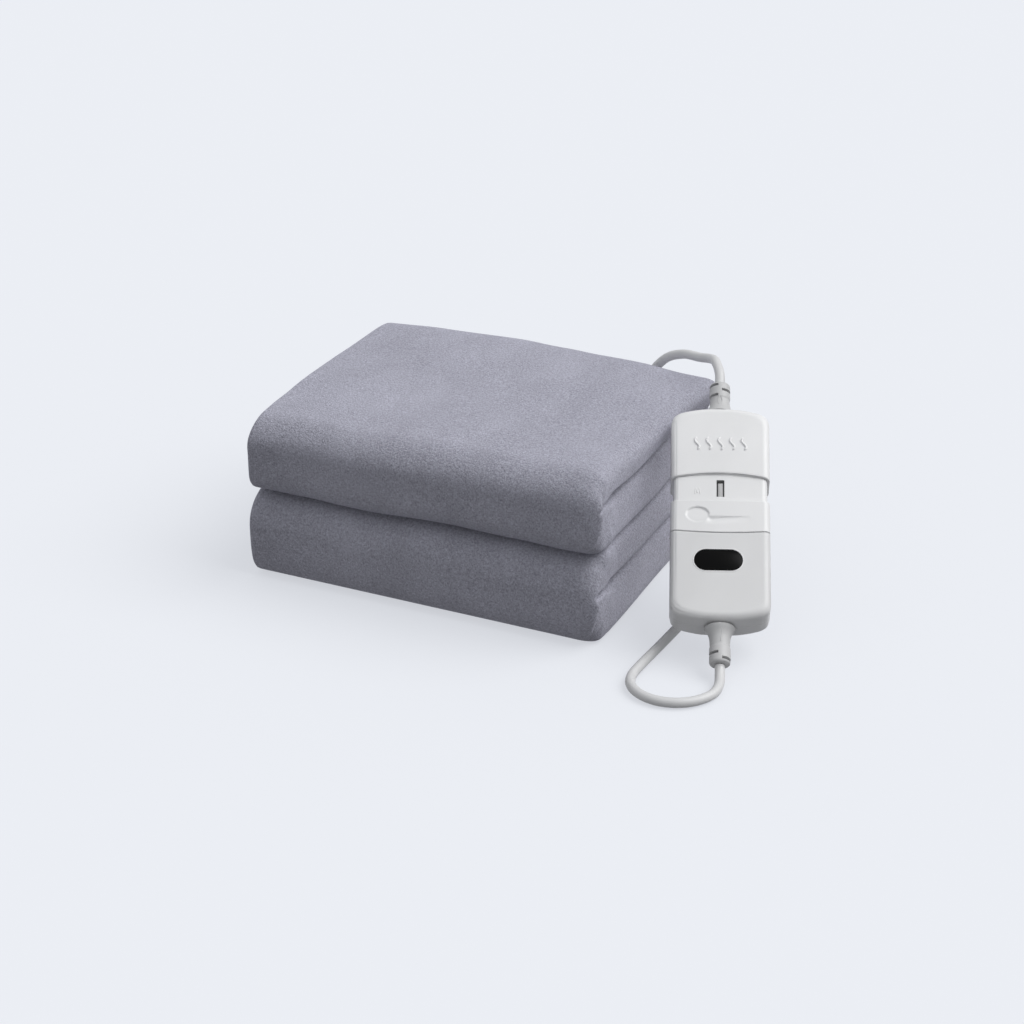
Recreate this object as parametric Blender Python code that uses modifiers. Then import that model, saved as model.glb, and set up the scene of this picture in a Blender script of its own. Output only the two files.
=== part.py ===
"""A folded electric blanket with its slide controller, blanket lead and coiled mains lead.

Metres, +Z up. The origin is on the floor under the middle of the folded stack. +X runs along the
front rolls, -Y is the front, and the controller leans on the stack's right side.
"""

import math

import bmesh
import bpy
from mathutils import Matrix, Vector

# Folded stack: four layers, each a bundle of six plies of one sheet.
STACK_WIDTH = 0.240
STACK_DEPTH = 0.196
PLIES = 6
PLY_GAP = 0.0004
CREASE_GAP = 0.0003  # half the gap inside a fold
MIDDLE_GAP = 0.0004  # between the two middle layers
TOP_LAYER, UPPER_LAYER, LOWER_LAYER, BOTTOM_LAYER = 0.0215, 0.0290, 0.0240, 0.0325
BACK_WRAP = 0.0250  # thickness of the bundle where it goes down the back
BACK_RECESS = 0.0070  # from the free ends to the wrap
SIDE_BULGE = 0.0125  # how far the right side's round folds come out
FRONT_SQUARENESS, BACK_SQUARENESS, SIDE_SQUARENESS = 2.6, 3.2, 2.3
UPPER_ROLL_DEPTH, LOWER_ROLL_DEPTH = 0.0225, 0.0250
BINDING_LENGTH = 0.0095
UPPER_END_Y, LOWER_END_Y = 0.0655, 0.0620  # where the two bound ends stop
TOUCH_GAP = 0.0003

# Controller, in its own frame: X to the right, Y up its length, Z out of its face.
CASE_HALF_WIDTH = 0.0295
CASE_LENGTH = 0.1450
CASE_THICKNESS = 0.0240
CASE_ROUNDING = 0.0055
CAP_SEAM_Y, CAP_SEAM_RISE = 0.0953, 0.0031
SLIDER_TOP_Y, SLIDER_BOTTOM_Y, SLIDER_SAG = 0.0794, 0.0592, 0.0016
TRACK_INSET = 0.0016
SLIDER_CLEARANCE = 0.0003
SLOT_WIDTH, SLOT_LENGTH, SLOT_Y, SLOT_DEPTH = 0.0046, 0.0090, 0.0870, 0.0012
WINDOW_WIDTH, WINDOW_HEIGHT, WINDOW_X, WINDOW_Y, WINDOW_DEPTH = 0.0285, 0.0140, -0.0013, 0.0390, 0.0012
RELIEF_TOP_LENGTH, RELIEF_BOTTOM_LENGTH = 0.0218, 0.0234

# Where the controller leans: its face is turned this far from the front and tilted this far from upright.
CASE_TURN = math.radians(23.6)
CASE_TILT = math.radians(55.0)
CASE_FOOT = (0.1916, -0.0777, 0.0230)  # middle of its lower end

# Cords.
CORD_DIAMETER = 0.0060
COIL_CENTRE = (0.0, 0.152)
COIL_MIDDLE_RADIUS = 0.0330
COIL_COLUMNS, COIL_ROWS = 3, 2
COIL_FLOOR = 0.0014  # the tie passes under the coil
TIE_WIDTH, TIE_THICKNESS = 0.0100, 0.0010
TIE_CLEARANCE = 0.0008  # the coil curves inside the straight strap
PLUG_MIDDLE = (-0.1000, 0.1480)

HEIGHT = TOP_LAYER + UPPER_LAYER + LOWER_LAYER + BOTTOM_LAYER + 4 * CREASE_GAP + MIDDLE_GAP
LOWER_CREASE_Z = BOTTOM_LAYER + CREASE_GAP
UPPER_CREASE_Z = HEIGHT - TOP_LAYER - CREASE_GAP
BACK_Y = STACK_DEPTH / 2 - BACK_WRAP - BACK_RECESS
CASE_RIGHT = Vector((math.cos(CASE_TURN), math.sin(CASE_TURN), 0.0))
CASE_BACK = Vector((-math.sin(CASE_TURN), math.cos(CASE_TURN), 0.0))
CASE_UP = CASE_BACK * math.sin(CASE_TILT) + Vector((0.0, 0.0, math.cos(CASE_TILT)))
CASE_OUT = CASE_RIGHT.cross(CASE_UP)


def main_collection():
    for obj in list(bpy.data.objects):
        bpy.data.objects.remove(obj, do_unlink=True)
    parts = bpy.data.collections.new("electric_blanket")
    helpers = bpy.data.collections.new("cutters")
    bpy.context.scene.collection.children.link(parts)
    bpy.context.scene.collection.children.link(helpers)
    helpers.hide_render = True
    return parts, helpers


PARTS, CUTTERS = main_collection()


def finish(name, colour, roughness, metallic=0.0):
    material = bpy.data.materials.new(name)
    material.use_nodes = True
    shader = material.node_tree.nodes["Principled BSDF"]
    shader.inputs["Base Color"].default_value = (*colour, 1.0)
    shader.inputs["Roughness"].default_value = roughness
    shader.inputs["Metallic"].default_value = metallic
    return material


FLEECE = finish("grey_lavender_fleece", (0.33, 0.33, 0.38), 0.95)
BINDING = finish("pale_lavender_tape", (0.62, 0.61, 0.74), 0.8)
WHITE = finish("white_moulding", (0.75, 0.75, 0.76), 0.35)
GREY = finish("light_grey_moulding", (0.55, 0.55, 0.57), 0.45)
BLACK = finish("black_window", (0.01, 0.01, 0.012), 0.12)
CORD = finish("white_cord", (0.68, 0.68, 0.69), 0.5)
STRAP = finish("dark_strap", (0.12, 0.12, 0.13), 0.8)
METAL = finish("plated_pin", (0.70, 0.68, 0.62), 0.3, 1.0)


def add(name, data, material, place=None, collection=PARTS):
    obj = bpy.data.objects.new(name, data)
    collection.objects.link(obj)
    if material:
        data.materials.append(material)
    if place is not None:
        obj.matrix_world = place
    return obj


def mesh_from(name, build):
    """A mesh that build(bm) fills, with its faces turned outwards."""
    bm = bmesh.new()
    build(bm)
    bmesh.ops.recalc_face_normals(bm, faces=bm.faces[:])
    mesh = bpy.data.meshes.new(name)
    bm.to_mesh(mesh)
    bm.free()
    return mesh


# ---------------------------------------------------------------- cloth


def power(value, squareness):
    """One coordinate of a superellipse, from its sine or cosine."""
    return math.copysign(abs(value) ** (2.0 / squareness), value)


def flat_station(y, inner_z, side, thickness):
    return {"kind": "flat", "y": y, "inner_z": inner_z, "side": side, "thickness": thickness}


def turn_stations(steps, rising, centre, front, gap, below, above, recess, depth, squareness):
    """The stations of one fold, without its two ends. front is -1 for a front roll and 1 for the back."""
    angles = [math.pi * (k / steps - 0.5) for k in range(1, steps)]
    if not rising:
        angles.reverse()
    return [
        {
            "kind": "turn",
            "angle": angle,
            "centre": centre,
            "front": front,
            "gap": gap,
            "below": below,
            "above": above,
            "recess": recess,
            "depth": depth,
            "squareness": squareness,
            "thickness": depth,
        }
        for angle in angles
    ]


def run(y_from, y_to, inner_z, side, thickness, count=4):
    step = (y_to - y_from) / (count - 1)
    return [flat_station(y_from + step * k, inner_z, side, thickness) for k in range(count)]


def ribbon_stations():
    """The bundle's way from the upper free end to the front, over the top, down the back and in again."""
    upper_front = -STACK_DEPTH / 2 + UPPER_ROLL_DEPTH
    lower_front = -STACK_DEPTH / 2 + LOWER_ROLL_DEPTH
    upper_start = UPPER_END_Y - BINDING_LENGTH - TOUCH_GAP
    lower_stop = LOWER_END_Y - BINDING_LENGTH - TOUCH_GAP
    top_inner, bottom_inner = UPPER_CREASE_Z + CREASE_GAP, LOWER_CREASE_Z - CREASE_GAP
    back_centre = (BACK_Y, (top_inner + bottom_inner) / 2)
    stations = run(upper_start, upper_front, UPPER_CREASE_Z - CREASE_GAP, -1, UPPER_LAYER)
    stations += turn_stations(
        7, True, (upper_front, UPPER_CREASE_Z), -1, CREASE_GAP, UPPER_LAYER, TOP_LAYER, 0.0008,
        UPPER_ROLL_DEPTH - 0.0008, FRONT_SQUARENESS,
    )  # fmt: skip
    stations += run(upper_front, BACK_Y, top_inner, 1, TOP_LAYER)
    stations += turn_stations(
        9, False, back_centre, 1, (top_inner - bottom_inner) / 2, BOTTOM_LAYER, TOP_LAYER, BACK_RECESS,
        BACK_WRAP, BACK_SQUARENESS,
    )  # fmt: skip
    stations += run(BACK_Y, lower_front, bottom_inner, -1, BOTTOM_LAYER)
    stations += turn_stations(
        7, True, (lower_front, LOWER_CREASE_Z), -1, CREASE_GAP, BOTTOM_LAYER, LOWER_LAYER, 0.0008,
        LOWER_ROLL_DEPTH - 0.0008, FRONT_SQUARENESS,
    )  # fmt: skip
    stations += run(lower_front, lower_stop, LOWER_CREASE_Z + CREASE_GAP, 1, LOWER_LAYER)
    return stations


def place_level(station, level):
    """(y, z) of a level of the bundle, 0 on its inner face and 1 on its outer face."""
    if station["kind"] == "flat":
        return station["y"], station["inner_z"] + station["side"] * level * station["thickness"]
    sine, cosine = math.sin(station["angle"]), math.cos(station["angle"])
    thickness = station["above"] if sine >= 0 else station["below"]
    reach = station["recess"] + level * station["depth"]
    half = station["gap"] + level * thickness
    y = station["centre"][0] + station["front"] * reach * power(cosine, station["squareness"])
    return y, station["centre"][1] + half * power(sine, station["squareness"])


def fold_section(thickness):
    """The plies' way across the bundle, as pairs of (x, level): one on each face of the cloth."""
    ply = 1.0 / PLIES
    slack = PLY_GAP / 2 / thickness
    right = STACK_WIDTH / 2 - SIDE_BULGE
    left_fold = ply - slack
    left_edge = -STACK_WIDTH / 2 + 0.002
    left_round = left_edge + left_fold * thickness

    def faces(number):
        return (number - 1) * ply + slack, number * ply - slack

    def along(number, x_from, x_to, upper_first):
        low, high = faces(number)
        first, second = (high, low) if upper_first else (low, high)
        return [((x, first), (x, second)) for x in (x_from, (x_from + x_to) / 2, x_to)]

    def round_fold(x, side, middle, first_half, second_half, first_depth, second_depth, rising, steps):
        angles = [math.pi * (k / steps - 0.5) * (1 if rising else -1) for k in range(1, steps)]
        return [
            tuple(
                (
                    x + side * depth * power(math.cos(angle), SIDE_SQUARENESS),
                    middle + half * power(math.sin(angle), SIDE_SQUARENESS),
                )
                for half, depth in ((first_half, first_depth), (second_half, second_depth))
            )
            for angle in angles
        ]

    def right_fold(inner_ply, outer_ply, first_is_outside, rising, steps):
        outside = faces(outer_ply)[1] - 0.5
        inside = faces(outer_ply)[0] - 0.5
        halves = (outside, inside) if first_is_outside else (inside, outside)
        depths = [2 * half * SIDE_BULGE for half in halves]
        return round_fold(right, 1, 0.5, *halves, *depths, rising, steps)

    def left_turn(lower_ply, first_is_outside, rising, steps):
        halves = (left_fold, slack) if first_is_outside else (slack, left_fold)
        depths = [half * thickness for half in halves]
        return round_fold(left_round, -1, lower_ply * ply, *halves, *depths, rising, steps)

    section = along(1, left_edge, right, True)
    section += right_fold(1, 6, False, True, 7)
    section += along(6, right, left_round, False)
    section += left_turn(5, False, False, 5)
    section += along(5, left_round, right, True)
    section += right_fold(2, 5, True, False, 5)
    section += along(2, right, left_round, False)
    section += left_turn(2, True, True, 5)
    section += along(3, left_round, right, True)
    section += right_fold(3, 4, False, True, 4)
    section += along(4, right, left_edge, False)
    return section


def settle(x, y, z):
    """The pile's soft unevenness. The underside stays flat."""
    lift = z / HEIGHT
    rise = 0.0015 * math.sin(19 * x + 14 * y + 0.6) + 0.0009 * math.sin(37 * y - 11 * x)
    sway = 0.0013 * math.sin(23 * x + 1.1)
    lean = 0.0011 * math.sin(25 * y + 45 * z)
    return Vector((x + lift * lean, y + lift * sway, z + lift * rise))


def sweep(name, stations, material):
    """One closed strip of cloth: the folded section carried along the stations."""

    def build(bm):
        rings = []
        for station in stations:
            ring = []
            for pair in fold_section(station["thickness"]):
                ring.append([bm.verts.new(settle(x, *place_level(station, level))) for x, level in pair])
            rings.append(ring)
        last = len(rings[0]) - 1
        for near, far in zip(rings, rings[1:]):
            for k in range(last):
                bm.faces.new((near[k][0], near[k + 1][0], far[k + 1][0], far[k][0]))
                bm.faces.new((near[k][1], far[k][1], far[k + 1][1], near[k + 1][1]))
            for k in (0, last):
                bm.faces.new((near[k][0], far[k][0], far[k][1], near[k][1]))
        for ring in (rings[0], rings[-1]):
            for k in range(last):
                bm.faces.new((ring[k][0], ring[k][1], ring[k + 1][1], ring[k + 1][0]))

    return add(name, mesh_from(name, build), material)


def make_cloth():
    sweep("blanket", ribbon_stations(), FLEECE)
    upper = run(UPPER_END_Y, UPPER_END_Y - BINDING_LENGTH, UPPER_CREASE_Z - CREASE_GAP, -1, UPPER_LAYER, 2)
    lower = run(LOWER_END_Y - BINDING_LENGTH, LOWER_END_Y, LOWER_CREASE_Z + CREASE_GAP, 1, LOWER_LAYER, 2)
    sweep("end_binding_upper", upper, BINDING)
    sweep("end_binding_lower", lower, BINDING)


# ---------------------------------------------------------------- controller


def case_place():
    back = Vector(CASE_FOOT) - CASE_OUT * CASE_THICKNESS / 2
    turn = Matrix((CASE_RIGHT, CASE_UP, CASE_OUT)).transposed().to_4x4()
    return Matrix.Translation(back) @ turn


CASE = case_place()


def slab(name, outline, low, high, material=None, place=CASE, collection=PARTS):
    """A flat outline carried from low to high along its Z."""

    def build(bm):
        face = bm.faces.new([bm.verts.new((x, y, low)) for x, y in outline])
        moved = bmesh.ops.extrude_face_region(bm, geom=[face])["geom"]
        for vertex in (v for v in moved if isinstance(v, bmesh.types.BMVert)):
            vertex.co.z = high

    return add(name, mesh_from(name, build), material, place, collection)


def cutter(name, outline, low, high):
    obj = slab(name, outline, low, high, collection=CUTTERS)
    obj.hide_render = True
    obj.display_type = "WIRE"
    return obj


def boolean(obj, operation, other):
    step = obj.modifiers.new(other.name, "BOOLEAN")
    step.operation = operation
    step.object = other
    step.solver = "EXACT"


def case_outline(inset=0.0):
    """The case seen from the front: straight sides and shallow arched ends."""
    shoulder = [(1.0, 0.0100), (0.955, 0.0062), (0.86, 0.0039), (0.70, 0.0026), (0.36, 0.0008)]
    half = CASE_HALF_WIDTH - inset
    right = [(half * share, drop + inset) for share, drop in shoulder]
    bottom = [(-x, y) for x, y in right] + [(x, y) for x, y in reversed(right)]
    return bottom + [(x, CASE_LENGTH - y) for x, y in reversed(bottom)]


def arc_across(y_side, rise, reach=0.040, steps=8):
    """Points from left to right on a shallow arc that is rise higher in the middle."""
    xs = [reach * (2 * k / steps - 1) for k in range(steps + 1)]
    return [(x, y_side + rise * max(0.0, 1 - (x / CASE_HALF_WIDTH) ** 2)) for x in xs]


def zone(name, lower_edge, upper_edge):
    return cutter(name, lower_edge + list(reversed(upper_edge)), -0.01, CASE_THICKNESS + 0.01)


def level_edge(y):
    return arc_across(y, 0.0)


def case_body(name, material, inset=0.0, front_inset=0.0, rounding=CASE_ROUNDING, collection=PARTS):
    front = CASE_THICKNESS - front_inset
    obj = slab(name, case_outline(inset), inset, front, material, collection=collection)
    edge = obj.modifiers.new("rounding", "BEVEL")
    edge.width = rounding
    edge.segments = 3
    edge.limit_method = "ANGLE"
    edge.angle_limit = math.radians(60)
    return obj


def stadium(width, height, x, y, steps=8):
    radius = height / 2
    points = []
    for side in (1, -1):
        middle = x + side * (width / 2 - radius)
        for k in range(steps + 1):
            angle = math.pi * (k / steps - 0.5) + (0 if side > 0 else math.pi)
            points.append((middle + radius * math.cos(angle), y + radius * math.sin(angle)))
    return points


def rectangle(width, height, x, y):
    return [(x + sx * width / 2, y + sy * height / 2) for sx, sy in ((-1, -1), (1, -1), (1, 1), (-1, 1))]


def turned(name, profile, material, place, steps=20):
    """A solid turned round its own Y: rows of (radius, y) from its far end down to its base."""

    def build(bm):
        rings = []
        for radius, y in profile:
            angles = [2 * math.pi * k / steps for k in range(steps)]
            rings.append([bm.verts.new((radius * math.cos(a), y, radius * math.sin(a))) for a in angles])
        for near, far in zip(rings, rings[1:]):
            for k in range(steps):
                n = (k + 1) % steps
                bm.faces.new((near[k], near[n], far[n], far[k]))
        bm.faces.new(rings[0])
        bm.faces.new(rings[-1])

    obj = add(name, mesh_from(name, build), material, place)
    obj.data.shade_smooth()
    obj.data.set_sharp_from_angle(angle=math.radians(35))
    return obj


def relief(name, length, place):
    profile = [
        (0.0050, length), (0.0061, length - 0.0015), (0.0063, length - 0.0105), (0.0060, length - 0.0130),
        (0.0067, 0.0050), (0.0080, 0.0020), (0.0092, 0.0),
    ]  # fmt: skip
    return turned(name, profile, GREY, place)


def make_controller():
    bottom = case_body("housing_bottom", WHITE)
    seam = arc_across(SLIDER_BOTTOM_Y - TOUCH_GAP, -SLIDER_SAG)
    boolean(bottom, "INTERSECT", zone("bottom_zone", level_edge(-0.02), seam))
    window = stadium(WINDOW_WIDTH + 2 * TOUCH_GAP, WINDOW_HEIGHT + 2 * TOUCH_GAP, WINDOW_X, WINDOW_Y)
    window_floor = CASE_THICKNESS - WINDOW_DEPTH - TOUCH_GAP
    boolean(bottom, "DIFFERENCE", cutter("window_pocket", window, window_floor, 0.04))
    slab(
        "display_window", stadium(WINDOW_WIDTH, WINDOW_HEIGHT, WINDOW_X, WINDOW_Y),
        CASE_THICKNESS - WINDOW_DEPTH, CASE_THICKNESS - 0.0002, BLACK,
    )  # fmt: skip

    top = case_body("housing_top", WHITE)
    boolean(top, "INTERSECT", zone("top_zone", arc_across(CAP_SEAM_Y, CAP_SEAM_RISE), level_edge(0.20)))

    track = case_body("slider_track", WHITE, TRACK_INSET, TRACK_INSET, CASE_ROUNDING - TRACK_INSET / 2)
    lower_end = arc_across(SLIDER_BOTTOM_Y, -SLIDER_SAG)
    upper_end = arc_across(CAP_SEAM_Y - TOUCH_GAP, CAP_SEAM_RISE)
    boolean(track, "INTERSECT", zone("track_zone", lower_end, upper_end))
    face = CASE_THICKNESS - TRACK_INSET
    pocket = rectangle(SLOT_WIDTH, SLOT_LENGTH, 0, SLOT_Y)
    boolean(track, "DIFFERENCE", cutter("slot_pocket", pocket, face - SLOT_DEPTH, 0.04))
    strip = rectangle(SLOT_WIDTH - 2 * TOUCH_GAP, SLOT_LENGTH - 2 * TOUCH_GAP, 0, SLOT_Y)
    slab("slot_strip", strip, face - SLOT_DEPTH + TOUCH_GAP, face - 0.0004, GREY)

    make_slider()
    relief("strain_relief_top", RELIEF_TOP_LENGTH, CASE @ relief_base(CASE_LENGTH + TOUCH_GAP, 0))
    relief("strain_relief_bottom", RELIEF_BOTTOM_LENGTH, CASE @ relief_base(-TOUCH_GAP, math.pi))


def relief_base(y, turn):
    return Matrix.Translation((0, y, CASE_THICKNESS / 2)) @ Matrix.Rotation(turn, 4, "Z")


def make_slider():
    """The sleeve round the track, with its origin in its own middle, on the line that it slides along."""
    slider = case_body("slider", WHITE)
    lower_end = arc_across(SLIDER_BOTTOM_Y + TOUCH_GAP, -SLIDER_SAG)
    boolean(slider, "INTERSECT", zone("slider_zone", lower_end, level_edge(SLIDER_TOP_Y)))
    gap = TRACK_INSET - SLIDER_CLEARANCE
    core = case_body("track_clearance", None, gap, gap, CASE_ROUNDING - gap / 2, CUTTERS)
    core.hide_render = True
    core.display_type = "WIRE"
    boolean(slider, "DIFFERENCE", core)
    middle = Vector((0, (SLIDER_TOP_Y + SLIDER_BOTTOM_Y) / 2, CASE_THICKNESS / 2))
    slider.data.transform(Matrix.Translation(-middle))
    slider.matrix_world = CASE @ Matrix.Translation(middle)


# ---------------------------------------------------------------- cords and plug


def case_point(y):
    """A point on the controller's long axis."""
    return CASE @ Vector((0, y, CASE_THICKNESS / 2))


def smooth(points, spacing):
    """Points about spacing apart on a centripetal Catmull-Rom curve through the route's points."""
    ends = [2 * points[0] - points[1], *points, 2 * points[-1] - points[-2]]
    fine = []
    for a, b, c, d in zip(ends, ends[1:], ends[2:], ends[3:]):
        times = [0.0]
        for near, far in ((a, b), (b, c), (c, d)):
            times.append(times[-1] + max((far - near).length, 1e-6) ** 0.5)
        t0, t1, t2, t3 = times
        for k in range(24):
            t = t1 + (t2 - t1) * k / 24
            ab = a + (b - a) * ((t - t0) / (t1 - t0))
            bc = b + (c - b) * ((t - t1) / (t2 - t1))
            cd = c + (d - c) * ((t - t2) / (t3 - t2))
            abc = ab + (bc - ab) * ((t - t0) / (t2 - t0))
            bcd = bc + (cd - bc) * ((t - t1) / (t3 - t1))
            fine.append(abc + (bcd - abc) * ((t - t1) / (t2 - t1)))
    fine.append(points[-1])
    along = [0.0]
    for near, far in zip(fine, fine[1:]):
        along.append(along[-1] + (far - near).length)
    count = max(2, round(along[-1] / spacing))
    kept, at = [], 0
    for k in range(count + 1):
        wanted = along[-1] * k / count
        while at < len(along) - 2 and along[at + 1] < wanted:
            at += 1
        share = (wanted - along[at]) / max(along[at + 1] - along[at], 1e-9)
        kept.append(fine[at].lerp(fine[at + 1], share))
    return kept


def tube(name, points):
    curve = bpy.data.curves.new(name, "CURVE")
    curve.dimensions = "3D"
    curve.bevel_depth = CORD_DIAMETER / 2
    curve.bevel_resolution = 2
    curve.use_fill_caps = True
    spline = curve.splines.new("POLY")
    spline.points.add(len(points) - 1)
    for knot, point in zip(spline.points, points):
        knot.co = (*point, 1.0)
    return add(name, curve, CORD)


FLOOR_Z = CORD_DIAMETER / 2 + 0.0005


def floor_route(rows):
    return [Vector((x, y, FLOOR_Z if z is None else z)) for x, y, z in rows]


def mains_route():
    """From the controller's lower end, round and under it, and along the stack's side to the coil behind."""
    start = case_point(-RELIEF_BOTTOM_LENGTH - 2 * TOUCH_GAP)
    away = [start, start - CASE_UP * 0.006]
    rows = [
        (0.2046, -0.1092, 0.0042), (0.2052, -0.1184, None), (0.2018, -0.1276, None), (0.1960, -0.1345, None),
        (0.1882, -0.1390, None), (0.1794, -0.1406, None), (0.1705, -0.1390, None), (0.1627, -0.1345, None),
        (0.1569, -0.1276, None), (0.1541, -0.1184, None), (0.1536, -0.1040, None), (0.1541, -0.0800, None),
        (0.1544, -0.0500, None), (0.1542, -0.0150, None), (0.1531, 0.0200, None), (0.1512, 0.0600, None),
        (0.1480, 0.0900, None), (0.1425, 0.1130, None), (0.1330, 0.1340, None), (0.1200, 0.1540, None),
        (0.1050, 0.1720, None), (0.0850, 0.1870, None), (0.0610, 0.1955, None), (0.0380, 0.1968, 0.0044),
        (0.0180, 0.1945, 0.0048),
    ]  # fmt: skip
    return away + floor_route(rows)


def lead_route():
    """From the controller's upper end, over the stack's back corner, down behind it and into its side."""
    start = case_point(CASE_LENGTH + RELIEF_TOP_LENGTH + 2 * TOUCH_GAP)
    away = [start, start + CASE_UP * 0.008]
    rows = [
        (0.1270, 0.0650, 0.1262), (0.1190, 0.0770, 0.1228), (0.1075, 0.0870, 0.1180),
        (0.0930, 0.0955, 0.1145), (0.0790, 0.1015, 0.1075), (0.0680, 0.1048, 0.0950),
        (0.0610, 0.1062, 0.0780), (0.0575, 0.1075, 0.0580), (0.0570, 0.1085, 0.0400),
        (0.0565, 0.1130, 0.0215), (0.0570, 0.1230, 0.0085), (0.0588, 0.1350, None),
        (0.0662, 0.1462, None), (0.0795, 0.1512, None), (0.0935, 0.1480, None), (0.1050, 0.1385, None),
        (0.1170, 0.1290, None), (0.1290, 0.1195, 0.0070), (0.1390, 0.1090, 0.0140),
        (0.1455, 0.0995, 0.0215), (0.1475, 0.0905, 0.0285), (0.1450, 0.0798, 0.0370),
        (0.1370, 0.0724, 0.0432), (0.1280, 0.0695, 0.0457), (0.1204, 0.0692, 0.0460),
    ]  # fmt: skip
    return away + floor_route(rows)


def tail_route():
    """The mains lead's last stretch, from the coil's top turn at a tangent into the plug."""
    rows = [
        (-0.0455, 0.1589, 0.0100), (-0.0508, 0.1535, 0.0094), (-0.0558, 0.1504, 0.0088),
        (-0.0614, 0.1486, 0.0083), (-0.0668, 0.1480, 0.0080), (-0.0738, 0.1480, 0.0080),
    ]  # fmt: skip
    return floor_route(rows)


def ring(name, half_width, low, high, material):
    """The coil's outer form, turned round the coil's middle."""
    outer, inner, round_off = COIL_MIDDLE_RADIUS + half_width, COIL_MIDDLE_RADIUS - half_width, 0.0024
    profile = [
        (outer, high - round_off), (outer, low + round_off), (outer - round_off, low),
        (inner + round_off, low), (inner, low + round_off), (inner, high - round_off),
        (inner + round_off, high), (outer - round_off, high),
    ]  # fmt: skip
    steps = 40

    def build(bm):
        loops = []
        for k in range(steps):
            angle = 2 * math.pi * k / steps
            loops.append([bm.verts.new((r * math.cos(angle), r * math.sin(angle), z)) for r, z in profile])
        for k in range(steps):
            near, far = loops[k], loops[(k + 1) % steps]
            for m in range(len(profile)):
                n = (m + 1) % len(profile)
                bm.faces.new((near[m], near[n], far[n], far[m]))

    return add(name, mesh_from(name, build), material, Matrix.Translation((*COIL_CENTRE, 0)))


def box_outline(x_low, x_high, y_low, y_high):
    return [(x_low, y_low), (x_high, y_low), (x_high, y_high), (x_low, y_high)]


def make_coil():
    half_width = COIL_COLUMNS * (CORD_DIAMETER + 0.0003) / 2
    low = COIL_FLOOR
    high = low + COIL_ROWS * CORD_DIAMETER + 0.0004
    ring("mains_coil", half_width, low, high, CORD)
    near_y = COIL_CENTRE[1] + COIL_MIDDLE_RADIUS
    reach = half_width + TIE_CLEARANCE
    inner = box_outline(near_y - reach, near_y + reach, low - TOUCH_GAP, high + TOUCH_GAP)
    grow = TIE_THICKNESS
    outer = [
        (y + (grow if y > near_y else -grow), z + (grow if z > high else -grow)) for y, z in inner
    ]
    stand = Matrix(((0, 0, 1, COIL_CENTRE[0]), (1, 0, 0, 0), (0, 1, 0, 0), (0, 0, 0, 1)))
    tie = slab("cord_tie", outer, -TIE_WIDTH / 2, TIE_WIDTH / 2, STRAP, stand)
    hole = slab("tie_hole", inner, -TIE_WIDTH, TIE_WIDTH, None, stand, CUTTERS)
    hole.hide_render = True
    hole.display_type = "WIRE"
    boolean(tie, "DIFFERENCE", hole)


def make_plug():
    """A generic two-pin plug lying flat: a tapered body and two pins that point left."""
    x, y = PLUG_MIDDLE
    z = 0.0080
    outline = [
        (0.0255, -0.0042), (0.0255, 0.0042), (0.0120, 0.0060), (0.0020, 0.0115), (-0.0120, 0.0125),
        (-0.0140, 0.0110), (-0.0140, -0.0110), (-0.0120, -0.0125), (0.0020, -0.0115), (0.0120, -0.0060),
    ]  # fmt: skip
    body = slab("plug_body", outline, -0.0078, 0.0072, WHITE, Matrix.Translation((x, y, z)))
    edge = body.modifiers.new("rounding", "BEVEL")
    edge.width = 0.0026
    edge.segments = 2
    edge.limit_method = "ANGLE"
    edge.angle_limit = math.radians(60)
    for name, side in (("plug_pin_left", -1), ("plug_pin_right", 1)):
        profile = [(0.0012, 0.0190), (0.0020, 0.0180), (0.0020, 0.0), (0.0012, 0.0)]
        root = Matrix.Translation((x - 0.0140 - TOUCH_GAP, y + side * 0.0060, z))
        turned(name, profile, METAL, root @ Matrix.Rotation(math.pi / 2, 4, "Z"), 12)


def make_lead_entry():
    """A flat moulded tab in the recess that narrows to the round lead."""
    rows = [  # x, half its thickness, half its height
        (0.0900, 0.0029, 0.0075), (0.1020, 0.0029, 0.0075),
        (0.1110, 0.0034, 0.0056), (0.1200, 0.0042, 0.0042),
    ]  # fmt: skip
    middle_y, middle_z, steps = 0.0692, 0.0460, 16

    def build(bm):
        rings = []
        for x, half_y, half_z in rows:
            angles = [2 * math.pi * (k + 0.5) / steps for k in range(steps)]
            across = [middle_y + half_y * power(math.cos(a), 2.6) for a in angles]
            height = [middle_z + half_z * power(math.sin(a), 2.6) for a in angles]
            rings.append([bm.verts.new((x, y, z)) for y, z in zip(across, height)])
        for near, far in zip(rings, rings[1:]):
            for k in range(steps):
                n = (k + 1) % steps
                bm.faces.new((near[k], near[n], far[n], far[k]))
        bm.faces.new(rings[0])
        bm.faces.new(rings[-1])

    add("lead_entry", mesh_from("lead_entry", build), GREY)


make_cloth()
make_controller()
make_lead_entry()
tube("mains_lead", smooth(mains_route(), 0.0085))
tube("blanket_lead", smooth(lead_route(), 0.0105))
tube("mains_tail", smooth(tail_route(), 0.0080))
make_coil()
make_plug()
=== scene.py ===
"""The looks of a folded heated blanket: plush cloth with bound ends, slide controller, cords and plug."""

import math

import bmesh
import bpy
import numpy as np
from mathutils import Matrix, Vector, noise


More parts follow.
